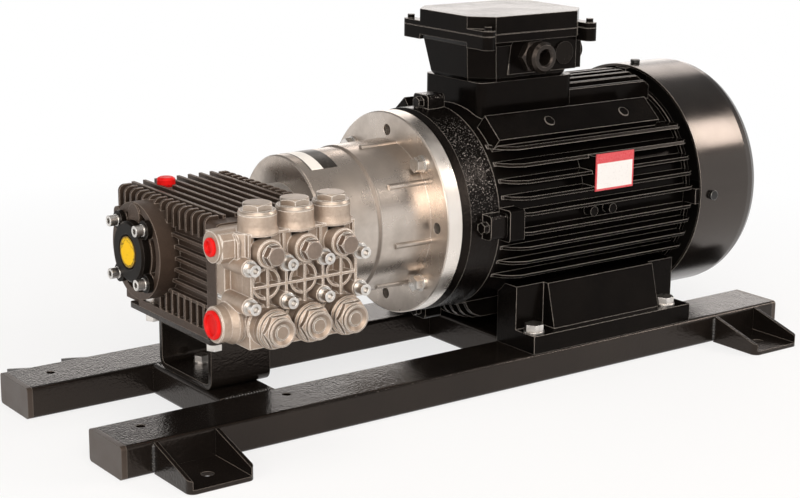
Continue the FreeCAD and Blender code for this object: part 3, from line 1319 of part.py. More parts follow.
# fan cowl: spun sheet with a rounded shoulder and a ringed inlet grille
CL = d.cowl_x1 - d.cowl_x0
SR = d.cowl_round
profile = [(d.cowl_r - d.cowl_t, 0), (d.cowl_r, 0)]
for index in range(6):
    angle = math.radians(90 * index / 5)
    profile.append((d.cowl_r - SR * (1 - math.cos(angle)), CL - SR * (1 - math.sin(angle))))
profile.append((12, CL))
profile.append((12, CL - d.cowl_t))
for index in range(5, -1, -1):
    angle = math.radians(90 * index / 5)
    radius = (SR - d.cowl_t)
    profile.append((d.cowl_r - SR + radius * math.cos(angle), CL - SR + radius * math.sin(angle)))
cowl = turned("fan_cowl", "x", d.cowl_x0, 0, AXIS, profile)
gaps = []
for index in range(5):
    inner = 20 + index * d.grille_pitch
    outer = inner + d.grille_pitch - 5
    gaps.append(minus(rod("x", outer, 8, d.cowl_x1 - 5, 0, AXIS),
                      rod("x", inner, 10, d.cowl_x1 - 6, 0, AXIS)))
spokes = []
for index in range(4):
    web = doc.addObject("Part::Box", fresh("web"))
    web.Length = 12
    web.Width = 12
    web.Height = 120
    spoke = doc.addObject("Part::Box", fresh("spoke"))
    bind(spoke, "Length", 12)
    bind(spoke, "Width", 10)
    bind(spoke, "Height", 240)
    angle = 45 * index
    turn = Rotation(Vector(1, 0, 0), angle)
    offset = turn.multVec(Vector(0, -5, -120))
    put(spoke, d.cowl_x1 - 7, offset.y, AXIS + offset.z, turn)
    spokes.append(spoke)
    doc.removeObject(web.Name)
slots = minus(join(*gaps), *spokes)
holes = []
screws = []
for index in range(4):
    turn = Rotation(Vector(1, 0, 0), 90 * index)
    for radius, start, length, kind in ((2.7, 100, 40, "hole"), (2.4, 106, 0, "shank"),
                                        (5, 0, 3.5, "head")):
        pin = doc.addObject("Part::Cylinder", fresh(kind))
        bind(pin, "Radius", radius)
        if kind == "head":
            bind(pin, "Height", length)
            reach = d.cowl_r + d.seat_fit
        elif kind == "shank":
            bind(pin, "Height", d.cowl_r + d.seat_fit - start)
            reach = size(start)
        else:
            bind(pin, "Height", length)
            reach = size(start)
        offset = turn.multVec(Vector(0, 0, 1))
        put(pin, d.cowl_x0 + 16, reach * round(offset.y, 9), AXIS + reach * round(offset.z, 9), turn)
        if kind == "hole":
            holes.append(pin)
        else:
            screws.append(pin)
node("fan_cowl", minus(cowl, slots, *holes))
pairs = []
for index in range(4):
    pairs.append(join(screws[2 * index], screws[2 * index + 1]))
node("cowl_screws", group(*pairs))

# terminal box
BY = d.box_w / 2


def eight(inset, cut):
    """Lid outline with cut corners, moved in by an inset."""
    x0 = d.box_x0 + inset
    x1 = d.box_x1 - inset
    y1 = BY - inset
    c = size(cut)
    return [(x0 + c, -y1), (x1 - c, -y1), (x1, -y1 + c), (x1, y1 - c), (x1 - c, y1),
            (x0 + c, y1), (x0, y1 - c), (x0, -y1 + c)]


def ear(x, side, z0, z1):
    """Screw ear: a web out of the corner with a round end."""
    y = side * (BY + d.ear_out)
    root = side * (BY - d.lid_cut)
    web = block(x - d.ear_r, x + d.ear_r, y if side < 0 else root, root if side < 0 else y, z0, z1)
    return join(web, rod("z", d.ear_r, z1 - z0, x, y, z0))


LID0 = d.box_top - d.lid_h
lid_body = prism("lid_shell", "z", LID0, d.lid_h, eight(0, d.lid_cut))
lid_room = prism("lid_room", "z", LID0 - 1, d.lid_h - 2, eight(d.lid_wall, d.lid_cut))
ears = []
CORNERS = []
for a in (-1, 1):
    for b in (-1, 1):
        x = (d.box_x0 + d.box_x1) / 2 + a * ((d.box_x1 - d.box_x0) / 2 - d.ear_in)
        y = b * (BY + d.ear_out)
        CORNERS.append((x, y))
        ears.append(ear(x, b, LID0, LID0 + 5))
lid_all = minus(join(lid_body, *ears), lid_room)
screws = []
for x, y in CORNERS:
    screws.append(rod("z", 3.6, 4, x, y, LID0 + 5))
node("terminal_box_lid", join(lid_all, *screws))

BOX1 = LID0 - d.seat_fit
RIM0 = BOX1 - d.box_rim_h
box_body = lofted("box_shell", "z", [
    (d.box_low, eight(d.box_base + 2.5, d.lid_cut)), (d.box_low + 4, eight(d.box_base, d.lid_cut)),
    (RIM0 - 4, eight(d.box_waist, d.lid_cut)), (RIM0, eight(0, d.lid_cut)),
    (BOX1, eight(0, d.lid_cut))])
box_room = prism("box_room", "z", d.box_low + 4, BOX1 - d.box_low, eight(d.box_room, d.lid_cut))
WALL = -BY + d.box_in
SIDE = d.box_x1 - d.box_in
GX = d.gland_x
GX2 = GX + d.entry_pitch
panels = [block(d.panel_x0, d.panel_x1, WALL, WALL + 8, d.box_low + 7, RIM0 - 0.6),
          block(SIDE - 8, SIDE, -d.side_entry_y - 14, -d.side_entry_y + 14, d.box_low + 7, RIM0 - 0.6)]
flats = [block(d.panel_x0, d.panel_x1, WALL - 12, WALL, d.box_low + 7, RIM0 - 0.6),
         block(SIDE, SIDE + 12, -d.side_entry_y - 14, -d.side_entry_y + 14, d.box_low + 7, RIM0 - 0.6)]
ears = []
for index, (x, y) in enumerate(CORNERS):
    ears.append(ear(x, -1 if index % 2 == 0 else 1, BOX1 - 13, BOX1))
entries = [rod("-y", d.entry_r + 0.1, 30, GX, WALL + 12, d.gland_z),
           rod("-y", d.entry_r + 0.1, 30, GX2, WALL + 12, d.gland_z),
           rod("x", d.entry_r + 0.1, 30, SIDE - 12, -d.side_entry_y, d.gland_z),
           rod("-z", 20, 20, (d.box_x0 + d.box_x1) / 2, 0, d.box_low + 10)]
node("terminal_box", minus(join(minus(join(box_body, *panels), *flats), *ears), box_room, *entries))
ring_r = d.gland_r
gland = turned("gland_ring", "-y", GX, WALL, d.gland_z, [
    (d.gland_bore - 1, -6), (d.entry_r, -6), (d.entry_r, 0), (ring_r - 1.6, 0), (ring_r - 1.6, 9),
    (ring_r - 0.6, 9.6), (ring_r, 12), (ring_r, d.gland_out - 3), (ring_r - 2.6, d.gland_out),
    (d.gland_bore + 1.6, d.gland_out), (d.gland_bore, d.gland_out - 1.6), (d.gland_bore, 4),
    (d.gland_bore - 1, 4)])
nut = minus(hex_head("-y", ring_r * 2 - 1.4, 8, GX, WALL, d.gland_z),
            rod("-y", ring_r - 2, 10, GX, WALL + 1, d.gland_z))
node("cable_gland", join(gland, nut))
plug_a = join(rod("y", d.entry_r, 6, GX2, WALL, d.gland_z),
              rod("-y", 11.5, 2.4, GX2, WALL, d.gland_z))
plug_b = join(rod("-x", d.entry_r, 6, SIDE, -d.side_entry_y, d.gland_z),
              rod("x", 11, 5, SIDE, -d.side_entry_y, d.gland_z))
node("blanking_plugs", group(plug_a, plug_b))

# plain nameplate on the fin tips
tag = block(d.label_x - d.label_w / 2, d.label_x + d.label_w / 2, -d.motor_tip - 1.4,
            -d.motor_tip - 0.4, d.label_z, d.label_z + d.label_h)
node("nameplate", tag)

# stator, rotor, shaft and fan
stator = turned("stator_core", "x", d.motor_x0 + 30, 0, AXIS, [
    (64.6, 0), (d.motor_r - d.motor_wall, 0), (d.motor_r - d.motor_wall, 150), (64.6, 150)])
node("stator_core", stator)
shaft = turned("motor_shaft", "x", SHAFT_END, 0, AXIS, [
    (0, 0), (d.shaft_r, 0), (d.shaft_r, 120), (24, 120), (24, 134), (64, 134), (64, 284),
    (24, 284), (24, 350), (d.tail_r, 350), (d.tail_r, d.cowl_x0 + d.fan_gap + d.fan_w - SHAFT_END),
    (0, d.cowl_x0 + d.fan_gap + d.fan_w - SHAFT_END)])
node("motor_shaft", shaft)
FAN0 = d.cowl_x0 + d.fan_gap
blades = [minus(join(rod("x", 30, d.fan_w, FAN0, 0, AXIS),
                     rod("x", d.fan_r - 16, 3, FAN0, 0, AXIS)),
                rod("x", d.tail_r + 0.02, d.fan_w + 2, FAN0 - 1, 0, AXIS))]
for index in range(int(d.fan_blades.v)):
    angle = 360.0 * index / d.fan_blades.v
    turn = Rotation(Vector(1, 0, 0), angle)
    blade = doc.addObject("Part::Box", fresh("blade"))
    bind(blade, "Length", d.fan_w)
    bind(blade, "Width", 3)
    bind(blade, "Height", d.fan_r - 26)
    offset = turn.multVec(Vector(0, -1.5, 26))
    put(blade, FAN0, offset.y, AXIS + offset.z, turn)
    blades.append(blade)
node("cooling_fan", join(*blades))

doc.recompute()
faults = []
for item in doc.Objects:
    if "Invalid" in item.State or "Error" in item.State:
        faults.append("%s is %s" % (item.Label, item.State))
for name, item in NODES.items():
    shape = item.Shape
    if shape.isNull() or not shape.isValid() or not shape.Solids:
        faults.append("%s has no valid solid" % name)
if faults:
    print("\n".join(faults))
    sys.exit(1)
os.makedirs("parts", exist_ok=True)
for name, item in NODES.items():
    item.Shape.exportStep("parts/" + name + ".step")
print("%d nodes written" % len(NODES))
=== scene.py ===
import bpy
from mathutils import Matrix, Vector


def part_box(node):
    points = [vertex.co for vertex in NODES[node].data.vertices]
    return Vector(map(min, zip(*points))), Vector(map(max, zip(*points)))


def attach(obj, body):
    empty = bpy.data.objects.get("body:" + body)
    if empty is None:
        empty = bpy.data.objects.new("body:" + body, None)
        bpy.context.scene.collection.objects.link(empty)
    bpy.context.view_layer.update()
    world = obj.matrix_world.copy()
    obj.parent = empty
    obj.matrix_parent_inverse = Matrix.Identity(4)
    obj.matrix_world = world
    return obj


bl_info = {
    "name": "Plunger Pump Unit Dressing",
    "version": (1, 0, 0),
    "blender": (4, 5, 0),
    "location": "3D View > Sidebar > Pump Unit",
    "description": "Finishes, weld beads and studio for a motor-driven plunger pump on its frame",
    "category": "Object",
}

import math
from functools import cached_property

import bpy
import numpy as np
from mathutils import Matrix, Vector

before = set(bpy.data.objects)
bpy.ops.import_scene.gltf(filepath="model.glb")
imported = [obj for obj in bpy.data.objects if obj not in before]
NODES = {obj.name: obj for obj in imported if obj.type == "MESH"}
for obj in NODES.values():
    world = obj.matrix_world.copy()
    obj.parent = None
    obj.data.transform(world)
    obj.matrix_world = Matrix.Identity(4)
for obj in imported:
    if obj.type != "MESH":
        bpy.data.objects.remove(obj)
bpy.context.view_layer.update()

# photograph's width in pixels and the sensor's in millimetres, from which the lens follows
PHOTO_WIDTH = 800
SENSOR = 36.0
# bell housing: start and length of its barrel, the radius at its start and what it grows by, the
# place of the small step in its wall, and the depth of its motor flange
BARREL_START = -0.1595
BARREL_LENGTH = 0.0615
BARREL_RADIUS = 0.07008
BARREL_GROWTH = 0.001
BELL_STEP = -0.0970
FLANGE_DEPTH = 0.0155
# label on the barrel: its two ends and those of its white field along the axis, and the radius
# that turns its angles into lengths
LABEL_ENDS = (-0.1505, -0.1205)
LABEL_WHITE = (-0.1494, -0.1366)
LABEL_RADIUS = 0.0707
# direction of the side of the front endshield whose grain gets painted glints: front and up
GLINT_SIDE_WAY = (0.0, -0.80, 0.60)
# colours of the lamps: those in front, the low one behind and the high one behind
FRONT_TONE = (1.0, 0.93, 0.865)
LOW_BACK_TONE = (1.0, 0.90, 0.83)
HIGH_BACK_TONE = (1.0, 0.91, 0.85)


class Graph:
    """Node tree of one new material or world, with a single method that makes every node."""

    def __init__(self, name, store="materials"):
        self.owner = getattr(bpy.data, store).new(name)
        self.owner.use_nodes = True
        self.tree = self.owner.node_tree
        self.tree.nodes.clear()

    @cached_property
    def place(self):
        """Object coordinates, in metres."""
        return self.make("ShaderNodeTexCoord", out="Object")

    def make(self, kind, settings=None, out=0, **inputs):
        """New node of a kind: settings first, then the values or links of its sockets, which go
        by name, or by number as i0, i1 and so on. Gives the output that is asked for."""
        node = self.tree.nodes.new(kind)
        for key, value in (settings or {}).items():
            setattr(node, key, value)
        for key, value in inputs.items():
            which = int(key[1:]) if key[1:].isdigit() else key.replace("_", " ")
            self.feed(node.inputs[which], value)
        return Wire(self, node.outputs[out]) if node.outputs else None

    def feed(self, socket, value):
        """Link a wire into a socket, or set the socket's own value."""
        if isinstance(value, Wire):
            self.tree.links.new(value.socket, socket)
        elif socket.type == "RGBA":
            socket.default_value = (*value, 1.0)
        else:
            socket.default_value = value

    def vector(self, operation, *values, out="Vector"):
        """Vector maths on wires or plain triples."""
        inputs = {"i%d" % index: value for index, value in enumerate(values)}
        return self.make("ShaderNodeVectorMath", {"operation": operation}, out, **inputs)

    def blend(self, amount, low, high):
        """Colour between two colours by an amount."""
        return self.make("ShaderNodeMix", {"data_type": "RGBA"}, 2, i0=amount, i6=low, i7=high)

    def noise(self, scale, detail, rough, stretch=None):
        """Cloudy pattern between 0 and 1 in Object coordinates, made finer along each axis by
        its stretch."""
        where = self.place
        if stretch:
            where = self.make("ShaderNodeMapping", Vector=where, Scale=stretch)
        return self.make("ShaderNodeTexNoise", Vector=where, Scale=scale, Detail=detail,
                         Roughness=rough)

    def cells(self, scale, feature="F1", where=None):
        """Distance to scattered points, or to the borders between them."""
        return self.make("ShaderNodeTexVoronoi", {"feature": feature},
                         Vector=where or self.place, Scale=scale)

    def span(self, value, low, high, to_low=0.0, to_high=1.0):
        """Value remapped and clamped between two limits."""
        return self.make("ShaderNodeMapRange", {"clamp": True}, Value=value, i1=low, i2=high,
                         i3=to_low, i4=to_high)

    def bump(self, height, strength, depth, under=None):
        """Relief whose height is a value times a depth in metres, over the plain surface or
        over another normal."""
        inputs = {"Height": height, "Strength": strength, "Distance": depth}
        if under is not None:
            inputs["Normal"] = under
        return self.make("ShaderNodeBump", **inputs)

    def soft_edge(self, radius):
        """Normal that rolls over every edge by a small radius."""
        return self.make("ShaderNodeBevel", {"samples": 4}, Radius=radius)

    def facing(self, way):
        """Cosine between the plain surface's normal and another direction."""
        flat = self.make("ShaderNodeNewGeometry", out="Normal")
        return self.vector("DOT_PRODUCT", way, flat, out="Value")

    def edges(self, rolled, low=0.02, high=0.25):
        """Mask that is 1 on edges and 0 on open faces, from a rolled normal."""
        return self.span(1.0 - self.facing(rolled), low, high)

    def hollows(self, reach):
        """Mask that is 1 in a node's own corners and 0 on its open faces."""
        open_sky = self.make("ShaderNodeAmbientOcclusion", {"samples": 6, "only_local": True},
                             "AO", Distance=reach)
        return self.span(1.0 - open_sky, 0.25, 0.8)

    def axis(self, name):
        """One coordinate of the place, in metres."""
        return self.make("ShaderNodeSeparateXYZ", out=name, Vector=self.place)

    def finish(self, **sockets):
        """Close the tree with one principled surface."""
        self.make("ShaderNodeOutputMaterial",
                  Surface=self.make("ShaderNodeBsdfPrincipled", **sockets))
        return self.owner


class Wire:
    """Output socket that can be written into sums; each operator adds one maths node."""

    def __init__(self, graph, socket):
        self.graph = graph
        self.socket = socket

    def maths(self, operation, first, second):
        """One maths node over two wires or numbers."""
        return self.graph.make("ShaderNodeMath", {"operation": operation}, i0=first, i1=second)

    def __add__(self, other):
        return self.maths("ADD", self, other)

    __radd__ = __add__

    def __sub__(self, other):
        return self.maths("SUBTRACT", self, other)

    def __rsub__(self, other):
        return self.maths("SUBTRACT", other, self)

    def __mul__(self, other):
        return self.maths("MULTIPLY", self, other)

    __rmul__ = __mul__

    def __truediv__(self, other):
        return self.maths("DIVIDE", self, other)

    def __rtruediv__(self, other):
        return self.maths("DIVIDE", other, self)

    def __abs__(self):
        return self.maths("ABSOLUTE", self, 0.0)

    def over(self, level):
        """1 where the value is above a level."""
        return self.maths("GREATER_THAN", self, level)

    def either(self, other):
        """Larger of two values."""
        return self.maths("MAXIMUM", self, other)


def colour_of(value):
    """Plain tuple of a colour property."""
    return tuple(value[:3])


# finishes


def frame_paint(look):
    """Gloss black powder coat: orange peel, a faint haze, and a painted highlight along its edges.
    """
    g = Graph("frame_powder_coat")
    peel = g.noise(430.0, 2.0, 0.5)
    wave = g.noise(55.0, 3.0, 0.55)
    soft = g.soft_edge(0.0013)
    edge = g.edges(soft)
    haze = g.span(g.noise(9.0, 5.0, 0.6), 0.35, 0.75)
    base = g.blend(haze, colour_of(look.frame_black), (0.0125, 0.0097, 0.0078))
    # painted highlight: the edges lightened in the base colour
    base = g.blend(edge * 0.6, base, (0.30, 0.26, 0.225))
    relief = g.bump(peel * 1.3 + wave, 0.28, 0.0009, soft)
    return g.finish(Base_Color=base, Roughness=g.span(haze, 0.0, 1.0, 0.12, 0.26), Normal=relief,
                    Metallic=0.0, Specular_IOR_Level=0.37, Specular_Tint=colour_of(look.gloss_tint))


def motor_paint(look, name="motor_enamel", grain=1.0, rough=0.14, gloss=0.055, painted_glints=0.0):
    """Thick gloss black enamel over a cast surface, with a painted highlight along its edges.
    Painted glints are pale specks on the tops of a coarse, wet grain, on the side that faces front
    and up."""
    g = Graph(name)
    cast = g.noise(420.0, 3.0, 0.62)
    wave = g.noise(70.0, 3.0, 0.55)
    haze = g.span(g.noise(14.0, 4.0, 0.6), 0.4, 0.8)
    soft = g.soft_edge(0.0011)
    edge = g.edges(soft)
    base = g.blend(haze, colour_of(look.motor_black), (0.0062, 0.0050, 0.0042))
    # painted highlight: the edges lightened in the base colour
    base = g.blend(edge * 0.75, base, (0.56, 0.51, 0.465))
    # painted glints: pale specks on the tops of the grain, only where the surface faces front and
    # up
    if painted_glints:
        glint_top = g.span(g.noise(620.0, 2.0, 0.7), 0.59, 0.67)
        glint_side = g.span(g.facing(GLINT_SIDE_WAY), 0.80, 0.985)
        base = g.blend(glint_top * glint_side * painted_glints, base, (0.40, 0.365, 0.345))
    relief = g.bump(cast * 0.6 + wave, min(1.0, 0.18 * grain), 0.0008 * max(1.0, grain / 2),
                    soft)
    return g.finish(Base_Color=base, Roughness=g.span(haze, 0.0, 1.0, rough, rough + 0.10),
                    Normal=relief, Specular_IOR_Level=gloss,
                    Specular_Tint=colour_of(look.gloss_tint))


def moulded_black(look, name, rough, gloss=0.25, lift=(1.0, 1.0, 1.0)):
    """Injection-moulded black plastic with a fine spark-eroded grain and a painted highlight along
    its edges; lift multiplies its colour."""
    g = Graph(name)
    grain = g.noise(1600.0, 2.0, 0.6)
    haze = g.noise(40.0, 3.0, 0.5)
    soft = g.soft_edge(0.0008)
    edge = g.edges(soft)
    dark = np.multiply((0.011, 0.0098, 0.0088), lift)
    pale = np.multiply((0.024, 0.021, 0.019), lift)
    base = g.blend(haze, dark, pale)
    # painted highlight: the edges lightened in the base colour
    base = g.blend(edge * 0.5, base, (0.20, 0.18, 0.165))
    relief = g.bump(grain, 0.10, 0.0003, soft)
    return g.finish(Base_Color=base, Roughness=g.span(haze, 0.3, 0.7, rough, rough + 0.12),
                    Normal=relief, Specular_IOR_Level=gloss,
                    Specular_Tint=colour_of(look.gloss_tint))


def dark_casting(look):
    """Grey-brown coated aluminium casting, with painted shade in its corners and fin tips made
    paler, partly as rubbed wear and partly as a painted highlight.
    """
    g = Graph("crankcase_coat")
    sand = g.noise(700.0, 4.0, 0.65)
    pit = g.cells(520.0)
    cloud = g.span(g.noise(22.0, 5.0, 0.62), 0.3, 0.75)
    soft = g.soft_edge(0.0011)
    edge = g.edges(soft)
    hollow_shade = g.hollows(0.012)
    base = g.blend(cloud, colour_of(look.casting_dark), (0.066, 0.044, 0.033))
    # painted shade: the corners darkened in the base colour by an occlusion mask
    base = g.blend(hollow_shade * 0.75, base, (0.016, 0.0115, 0.0088))
    # partly rubbed wear and partly a painted highlight: the fin tips and edges lightened in the
    # base colour
    base = g.blend(edge * 0.9, base, (0.40, 0.335, 0.285))
    relief = g.bump(sand + pit * 0.25, 0.4, 0.0007, soft)
    return g.finish(Base_Color=base, Roughness=g.span(sand, 0.3, 0.7, 0.34, 0.50),
                    Metallic=0.2, Normal=relief, Specular_IOR_Level=0.35,
                    Specular_Tint=colour_of(look.gloss_tint))


def head_casting(look):
    """Nickel-washed cast alloy: warm silver skin, blasted grain, painted shade in its corners and a
    painted cream highlight along its rib edges."""
    g = Graph("valve_head_casting")
    sand = g.noise(900.0, 4.0, 0.6)
    cloud = g.span(g.noise(28.0, 5.0, 0.62), 0.3, 0.72)
    stain = g.span(g.noise(85.0, 4.0, 0.7), 0.55, 0.8)
    mottle = g.span(g.noise(240.0, 5.0, 0.72), 0.36, 0.66)
    soft = g.soft_edge(0.0015)
    edge = g.edges(soft, 0.010, 0.10)
    hollow_shade = g.hollows(0.007)
    base = g.blend(cloud, colour_of(look.head_silver), (0.39, 0.305, 0.240))
    base = g.blend(mottle * 0.35, base, (0.27, 0.20, 0.155))
    base = g.blend(stain * 0.3, base, (0.23, 0.17, 0.13))
    # painted shade: the corners darkened in the base colour by an occlusion mask
    base = g.blend(hollow_shade * 0.12, base, (0.21, 0.15, 0.11))
    # painted highlight: the rib edges lightened to cream in the base colour, and made less metallic
    base = g.blend(edge, base, (0.98, 0.925, 0.86))
    relief = g.bump(sand + mottle * 0.8, 0.5, 0.0005, soft)
    return g.finish(Base_Color=base, Metallic=0.50 - edge * 0.4,
                    Roughness=g.span(cloud, 0.0, 1.0, 0.30, 0.44), Normal=relief)


def turned_metal(name, colour, axis, rough, corner_shade=0.0):
    """Lathe-turned metal: fine tool rings round one axis, a little handling stain, painted shade in
    the corners where it is asked for, and a painted highlight along its edges."""
    g = Graph(name)
    stretch = [1.0, 1.0, 1.0]
    stretch["xyz".index(axis)] = 60.0
    rings = g.noise(22.0, 4.0, 0.6, stretch)
    cloud = g.span(g.noise(30.0, 4.0, 0.6), 0.3, 0.75)
    mottle = g.span(g.noise(260.0, 5.0, 0.7), 0.38, 0.68)
    soft = g.soft_edge(0.0011)
    edge = g.edges(soft, 0.012, 0.11)
    base = g.blend(cloud, colour, tuple(0.78 * c for c in colour))
    base = g.blend(mottle * 0.4, base, tuple(0.5 * c for c in colour))
    # painted shade: where asked, the corners are darkened in the base colour by an occlusion mask
    if corner_shade:
        base = g.blend(g.hollows(0.008) * corner_shade, base, (0.09, 0.06, 0.042))
    # painted highlight: the edges lightened in the base colour, and made less metallic
    base = g.blend(edge, base, (0.96, 0.92, 0.86))
    relief = g.bump(rings + mottle * 0.4, 0.16, 0.0003, soft)
    return g.finish(Base_Color=base, Metallic=0.85 - edge * 0.5,
                    Roughness=g.span(rings, 0.3, 0.7, rough - 0.05, rough + 0.1), Normal=relief)


def bell_skin(look):
    """Turned aluminium casting: axial smears, blotches of casting skin and tool rings, with a
    brighter brushed face on the motor flange and a dull band at the step in the wall."""
    g = Graph("bell_turned_casting")
    ring = g.noise(14.0, 4.0, 0.6, (70.0, 1.0, 1.0))
    smear = g.span(g.noise(10.0, 5.0, 0.65, (0.35, 2.2, 2.2)), 0.3, 0.75)
    blotch = g.span(g.noise(24.0, 5.0, 0.62), 0.44, 0.70)
    brown = g.span(g.noise(6.0, 4.0, 0.6, (0.5, 1.6, 1.6)), 0.42, 0.72)
    soft = g.soft_edge(0.0011)
    edge = g.edges(soft)
    x = g.axis("X")
    flange = x.over(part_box("bell_housing")[1].x - FLANGE_DEPTH)
    step = g.span(abs(x - BELL_STEP), 0.0010, 0.0026, 1.0, 0.0)
    base = g.blend(smear, colour_of(look.bell_silver), (0.60, 0.535, 0.48))
    base = g.blend(brown * 0.55, base, (0.42, 0.335, 0.265))
    base = g.blend(blotch * 0.55, base, (0.33, 0.285, 0.245))
    base = g.blend(flange * 0.85, base, (0.90, 0.84, 0.78))
    # painted highlight: the edges lightened in the base colour
    base = g.blend(edge * 0.35, base, (0.95, 0.90, 0.84))
    base = g.blend(step * 0.75, base, (0.20, 0.165, 0.14))
    relief = g.bump(ring + blotch * 0.5, 0.16, 0.0004, soft)
    skin = g.span(blotch, 0.0, 1.0, 0.27, 0.46) + step * 0.3
    return g.finish(Base_Color=base, Metallic=0.92, Roughness=skin, Normal=relief)


def zinc_steel(name="zinc_fasteners", colour=(0.80, 0.76, 0.715), rough=0.24):
    """Plated fastener steel: small dulled patches, painted shade down in the sockets and a painted
    highlight along the edges.
    """
    g = Graph(name)
    patch = g.span(g.noise(120.0, 4.0, 0.65), 0.35, 0.7)
    soft = g.soft_edge(0.0006)
    edge = g.edges(soft)
    base = g.blend(patch, colour, tuple(0.72 * c for c in colour))
    # painted shade: the sockets and corners darkened in the base colour by an occlusion mask
    base = g.blend(g.hollows(0.004) * 0.7, base, tuple(0.10 * c for c in colour))
    # painted highlight: the edges lightened in the base colour
    base = g.blend(edge * 0.8, base, (0.96, 0.95, 0.93))
    relief = g.bump(g.noise(1500.0, 2.0, 0.6), 0.1, 0.0002, soft)
    return g.finish(Base_Color=base, Metallic=1.0,
                    Roughness=g.span(patch, 0.0, 1.0, rough, rough + 0.16), Normal=relief)


def red_plastic(look):
    """Bright moulded cap, with painted shade down in its slot and recess and a faint painted
    highlight along its edges.
    """
    g = Graph("red_plug_plastic")
    colour = colour_of(look.plug_red)
    cloud = g.span(g.noise(90.0, 3.0, 0.5), 0.3, 0.7)
    soft = g.soft_edge(0.0007)
    edge = g.edges(soft)
    base = g.blend(cloud, colour, tuple(0.82 * c for c in colour))
    # painted shade: the slot and recess darkened in the base colour by an occlusion mask
    base = g.blend(g.hollows(0.005) * 0.75, base, tuple(0.22 * c for c in colour))
    # painted highlight: the edges lightened a little in the base colour
    base = g.blend(edge * 0.2, base, tuple(min(1.0, 0.3 + c * 0.7) for c in colour))
    relief = g.bump(g.noise(1100.0, 2.0, 0.5), 0.07, 0.0003, soft)
    return g.finish(Base_Color=base, Roughness=g.span(cloud, 0.0, 1.0, 0.34, 0.44),
                    Normal=relief, Specular_IOR_Level=0.10)


def sight_disc(look):
    """Yellow oil sight, crazed and scuffed, with a darker rim."""
    g = Graph("oil_sight_yellow")
    low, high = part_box("sight_glass")
    reach = g.vector("LENGTH", g.vector("SUBTRACT", g.place, (low + high) / 2), out="Value")
    scuff = g.noise(260.0, 5.0, 0.7)
    rim = g.span(reach + scuff * 0.004, 0.0135, 0.0165)
    spots = g.span(scuff, 0.58, 0.68)
    waves = g.make("ShaderNodeTexNoise", out="Color", Vector=g.place, Scale=150.0)
    bent = g.vector("MULTIPLY_ADD", waves, (0.008, 0.008, 0.008), g.place)
    crack = g.span(g.cells(60.0, "DISTANCE_TO_EDGE", bent), 0.010, 0.035, 1.0, 0.0)
    base = g.blend(rim, colour_of(look.sight_yellow), (0.05, 0.035, 0.02))
    base = g.blend(spots * 0.45, base, (0.42, 0.22, 0.004))
    base = g.blend(crack * 0.85, base, (0.07, 0.035, 0.004))
    relief = g.bump(scuff, 0.2, 0.0004)
    return g.finish(Base_Color=base, Roughness=g.span(scuff, 0.3, 0.7, 0.28, 0.5), Normal=relief,
                    Specular_IOR_Level=0.08)


def blank_plate(look):
    """Blank rating plate: white field in a red border that is much wider along the top."""
    g = Graph("blank_rating_plate")
    low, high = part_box("nameplate")
    across = (g.axis("X") - low.x) / (high.x - low.x)
    up = (g.axis("Z") - low.z) / (high.z - low.z)
    border = abs(across - 0.5).over(0.465).either(1.0 - up.over(0.055))
    red = border.either(up.over(0.74))
    worn = g.noise(500.0, 3.0, 0.6)
    base = g.blend(red, (0.76, 0.745, 0.735), colour_of(look.plate_red))
    base = g.blend(g.span(worn, 0.55, 0.8) * 0.18, base, (0.55, 0.5, 0.48))
    return g.finish(Base_Color=base, Roughness=g.span(worn, 0.3, 0.7, 0.24, 0.36),
                    Normal=g.bump(worn, 0.05, 0.0002), Coat_Weight=0.3)


def blank_label():
    """Blank printed label: white field, dark field at its right and a dark line at its left."""
    g = Graph("blank_bell_label")
    x = g.axis("X")
    worn = g.noise(380.0, 4.0, 0.65)
    start, end = LABEL_WHITE
    dark = x.over(end).either(1.0 - x.over(start))
    base = g.blend(dark, (0.84, 0.81, 0.76), (0.020, 0.016, 0.012))
    base = g.blend(g.span(worn, 0.55, 0.8) * 0.2, base, (0.45, 0.40, 0.35))
    return g.finish(Base_Color=base, Roughness=g.span(worn, 0.3, 0.7, 0.25, 0.4),
                    Normal=g.bump(worn, 0.06, 0.0002), Specular_IOR_Level=0.4)


def stacked_sheet():
    """Edge of stacked sheet steel: fine lines across the motor axis."""
    g = Graph("lamination_stack")
    lines = g.noise(40.0, 3.0, 0.6, (120.0, 1.0, 1.0))
    base = g.blend(g.span(lines, 0.35, 0.65), (0.20, 0.19, 0.185), (0.08, 0.075, 0.07))
    return g.finish(Base_Color=base, Metallic=0.8, Roughness=g.span(lines, 0.3, 0.7, 0.4, 0.6),
                    Normal=g.bump(lines, 0.3, 0.0004))


def weld_metal(look):
    """Painted weld bead: same black coat, thicker and glossier over the ripples."""
    g = Graph("painted_weld")
    peel = g.noise(500.0, 3.0, 0.6)
    base = g.blend(g.span(peel, 0.4, 0.7), colour_of(look.frame_black), (0.05, 0.045, 0.04))
    return g.finish(Base_Color=base, Roughness=g.span(peel, 0.3, 0.7, 0.14, 0.30),
                    Normal=g.bump(peel, 0.25, 0.0005), Specular_IOR_Level=0.6)


def drape(finish, *names):
    """Give CAD nodes one finish."""
    for name in names:
        mesh = NODES[name].data
        mesh.materials.clear()
        mesh.materials.append(finish)


# surfaces


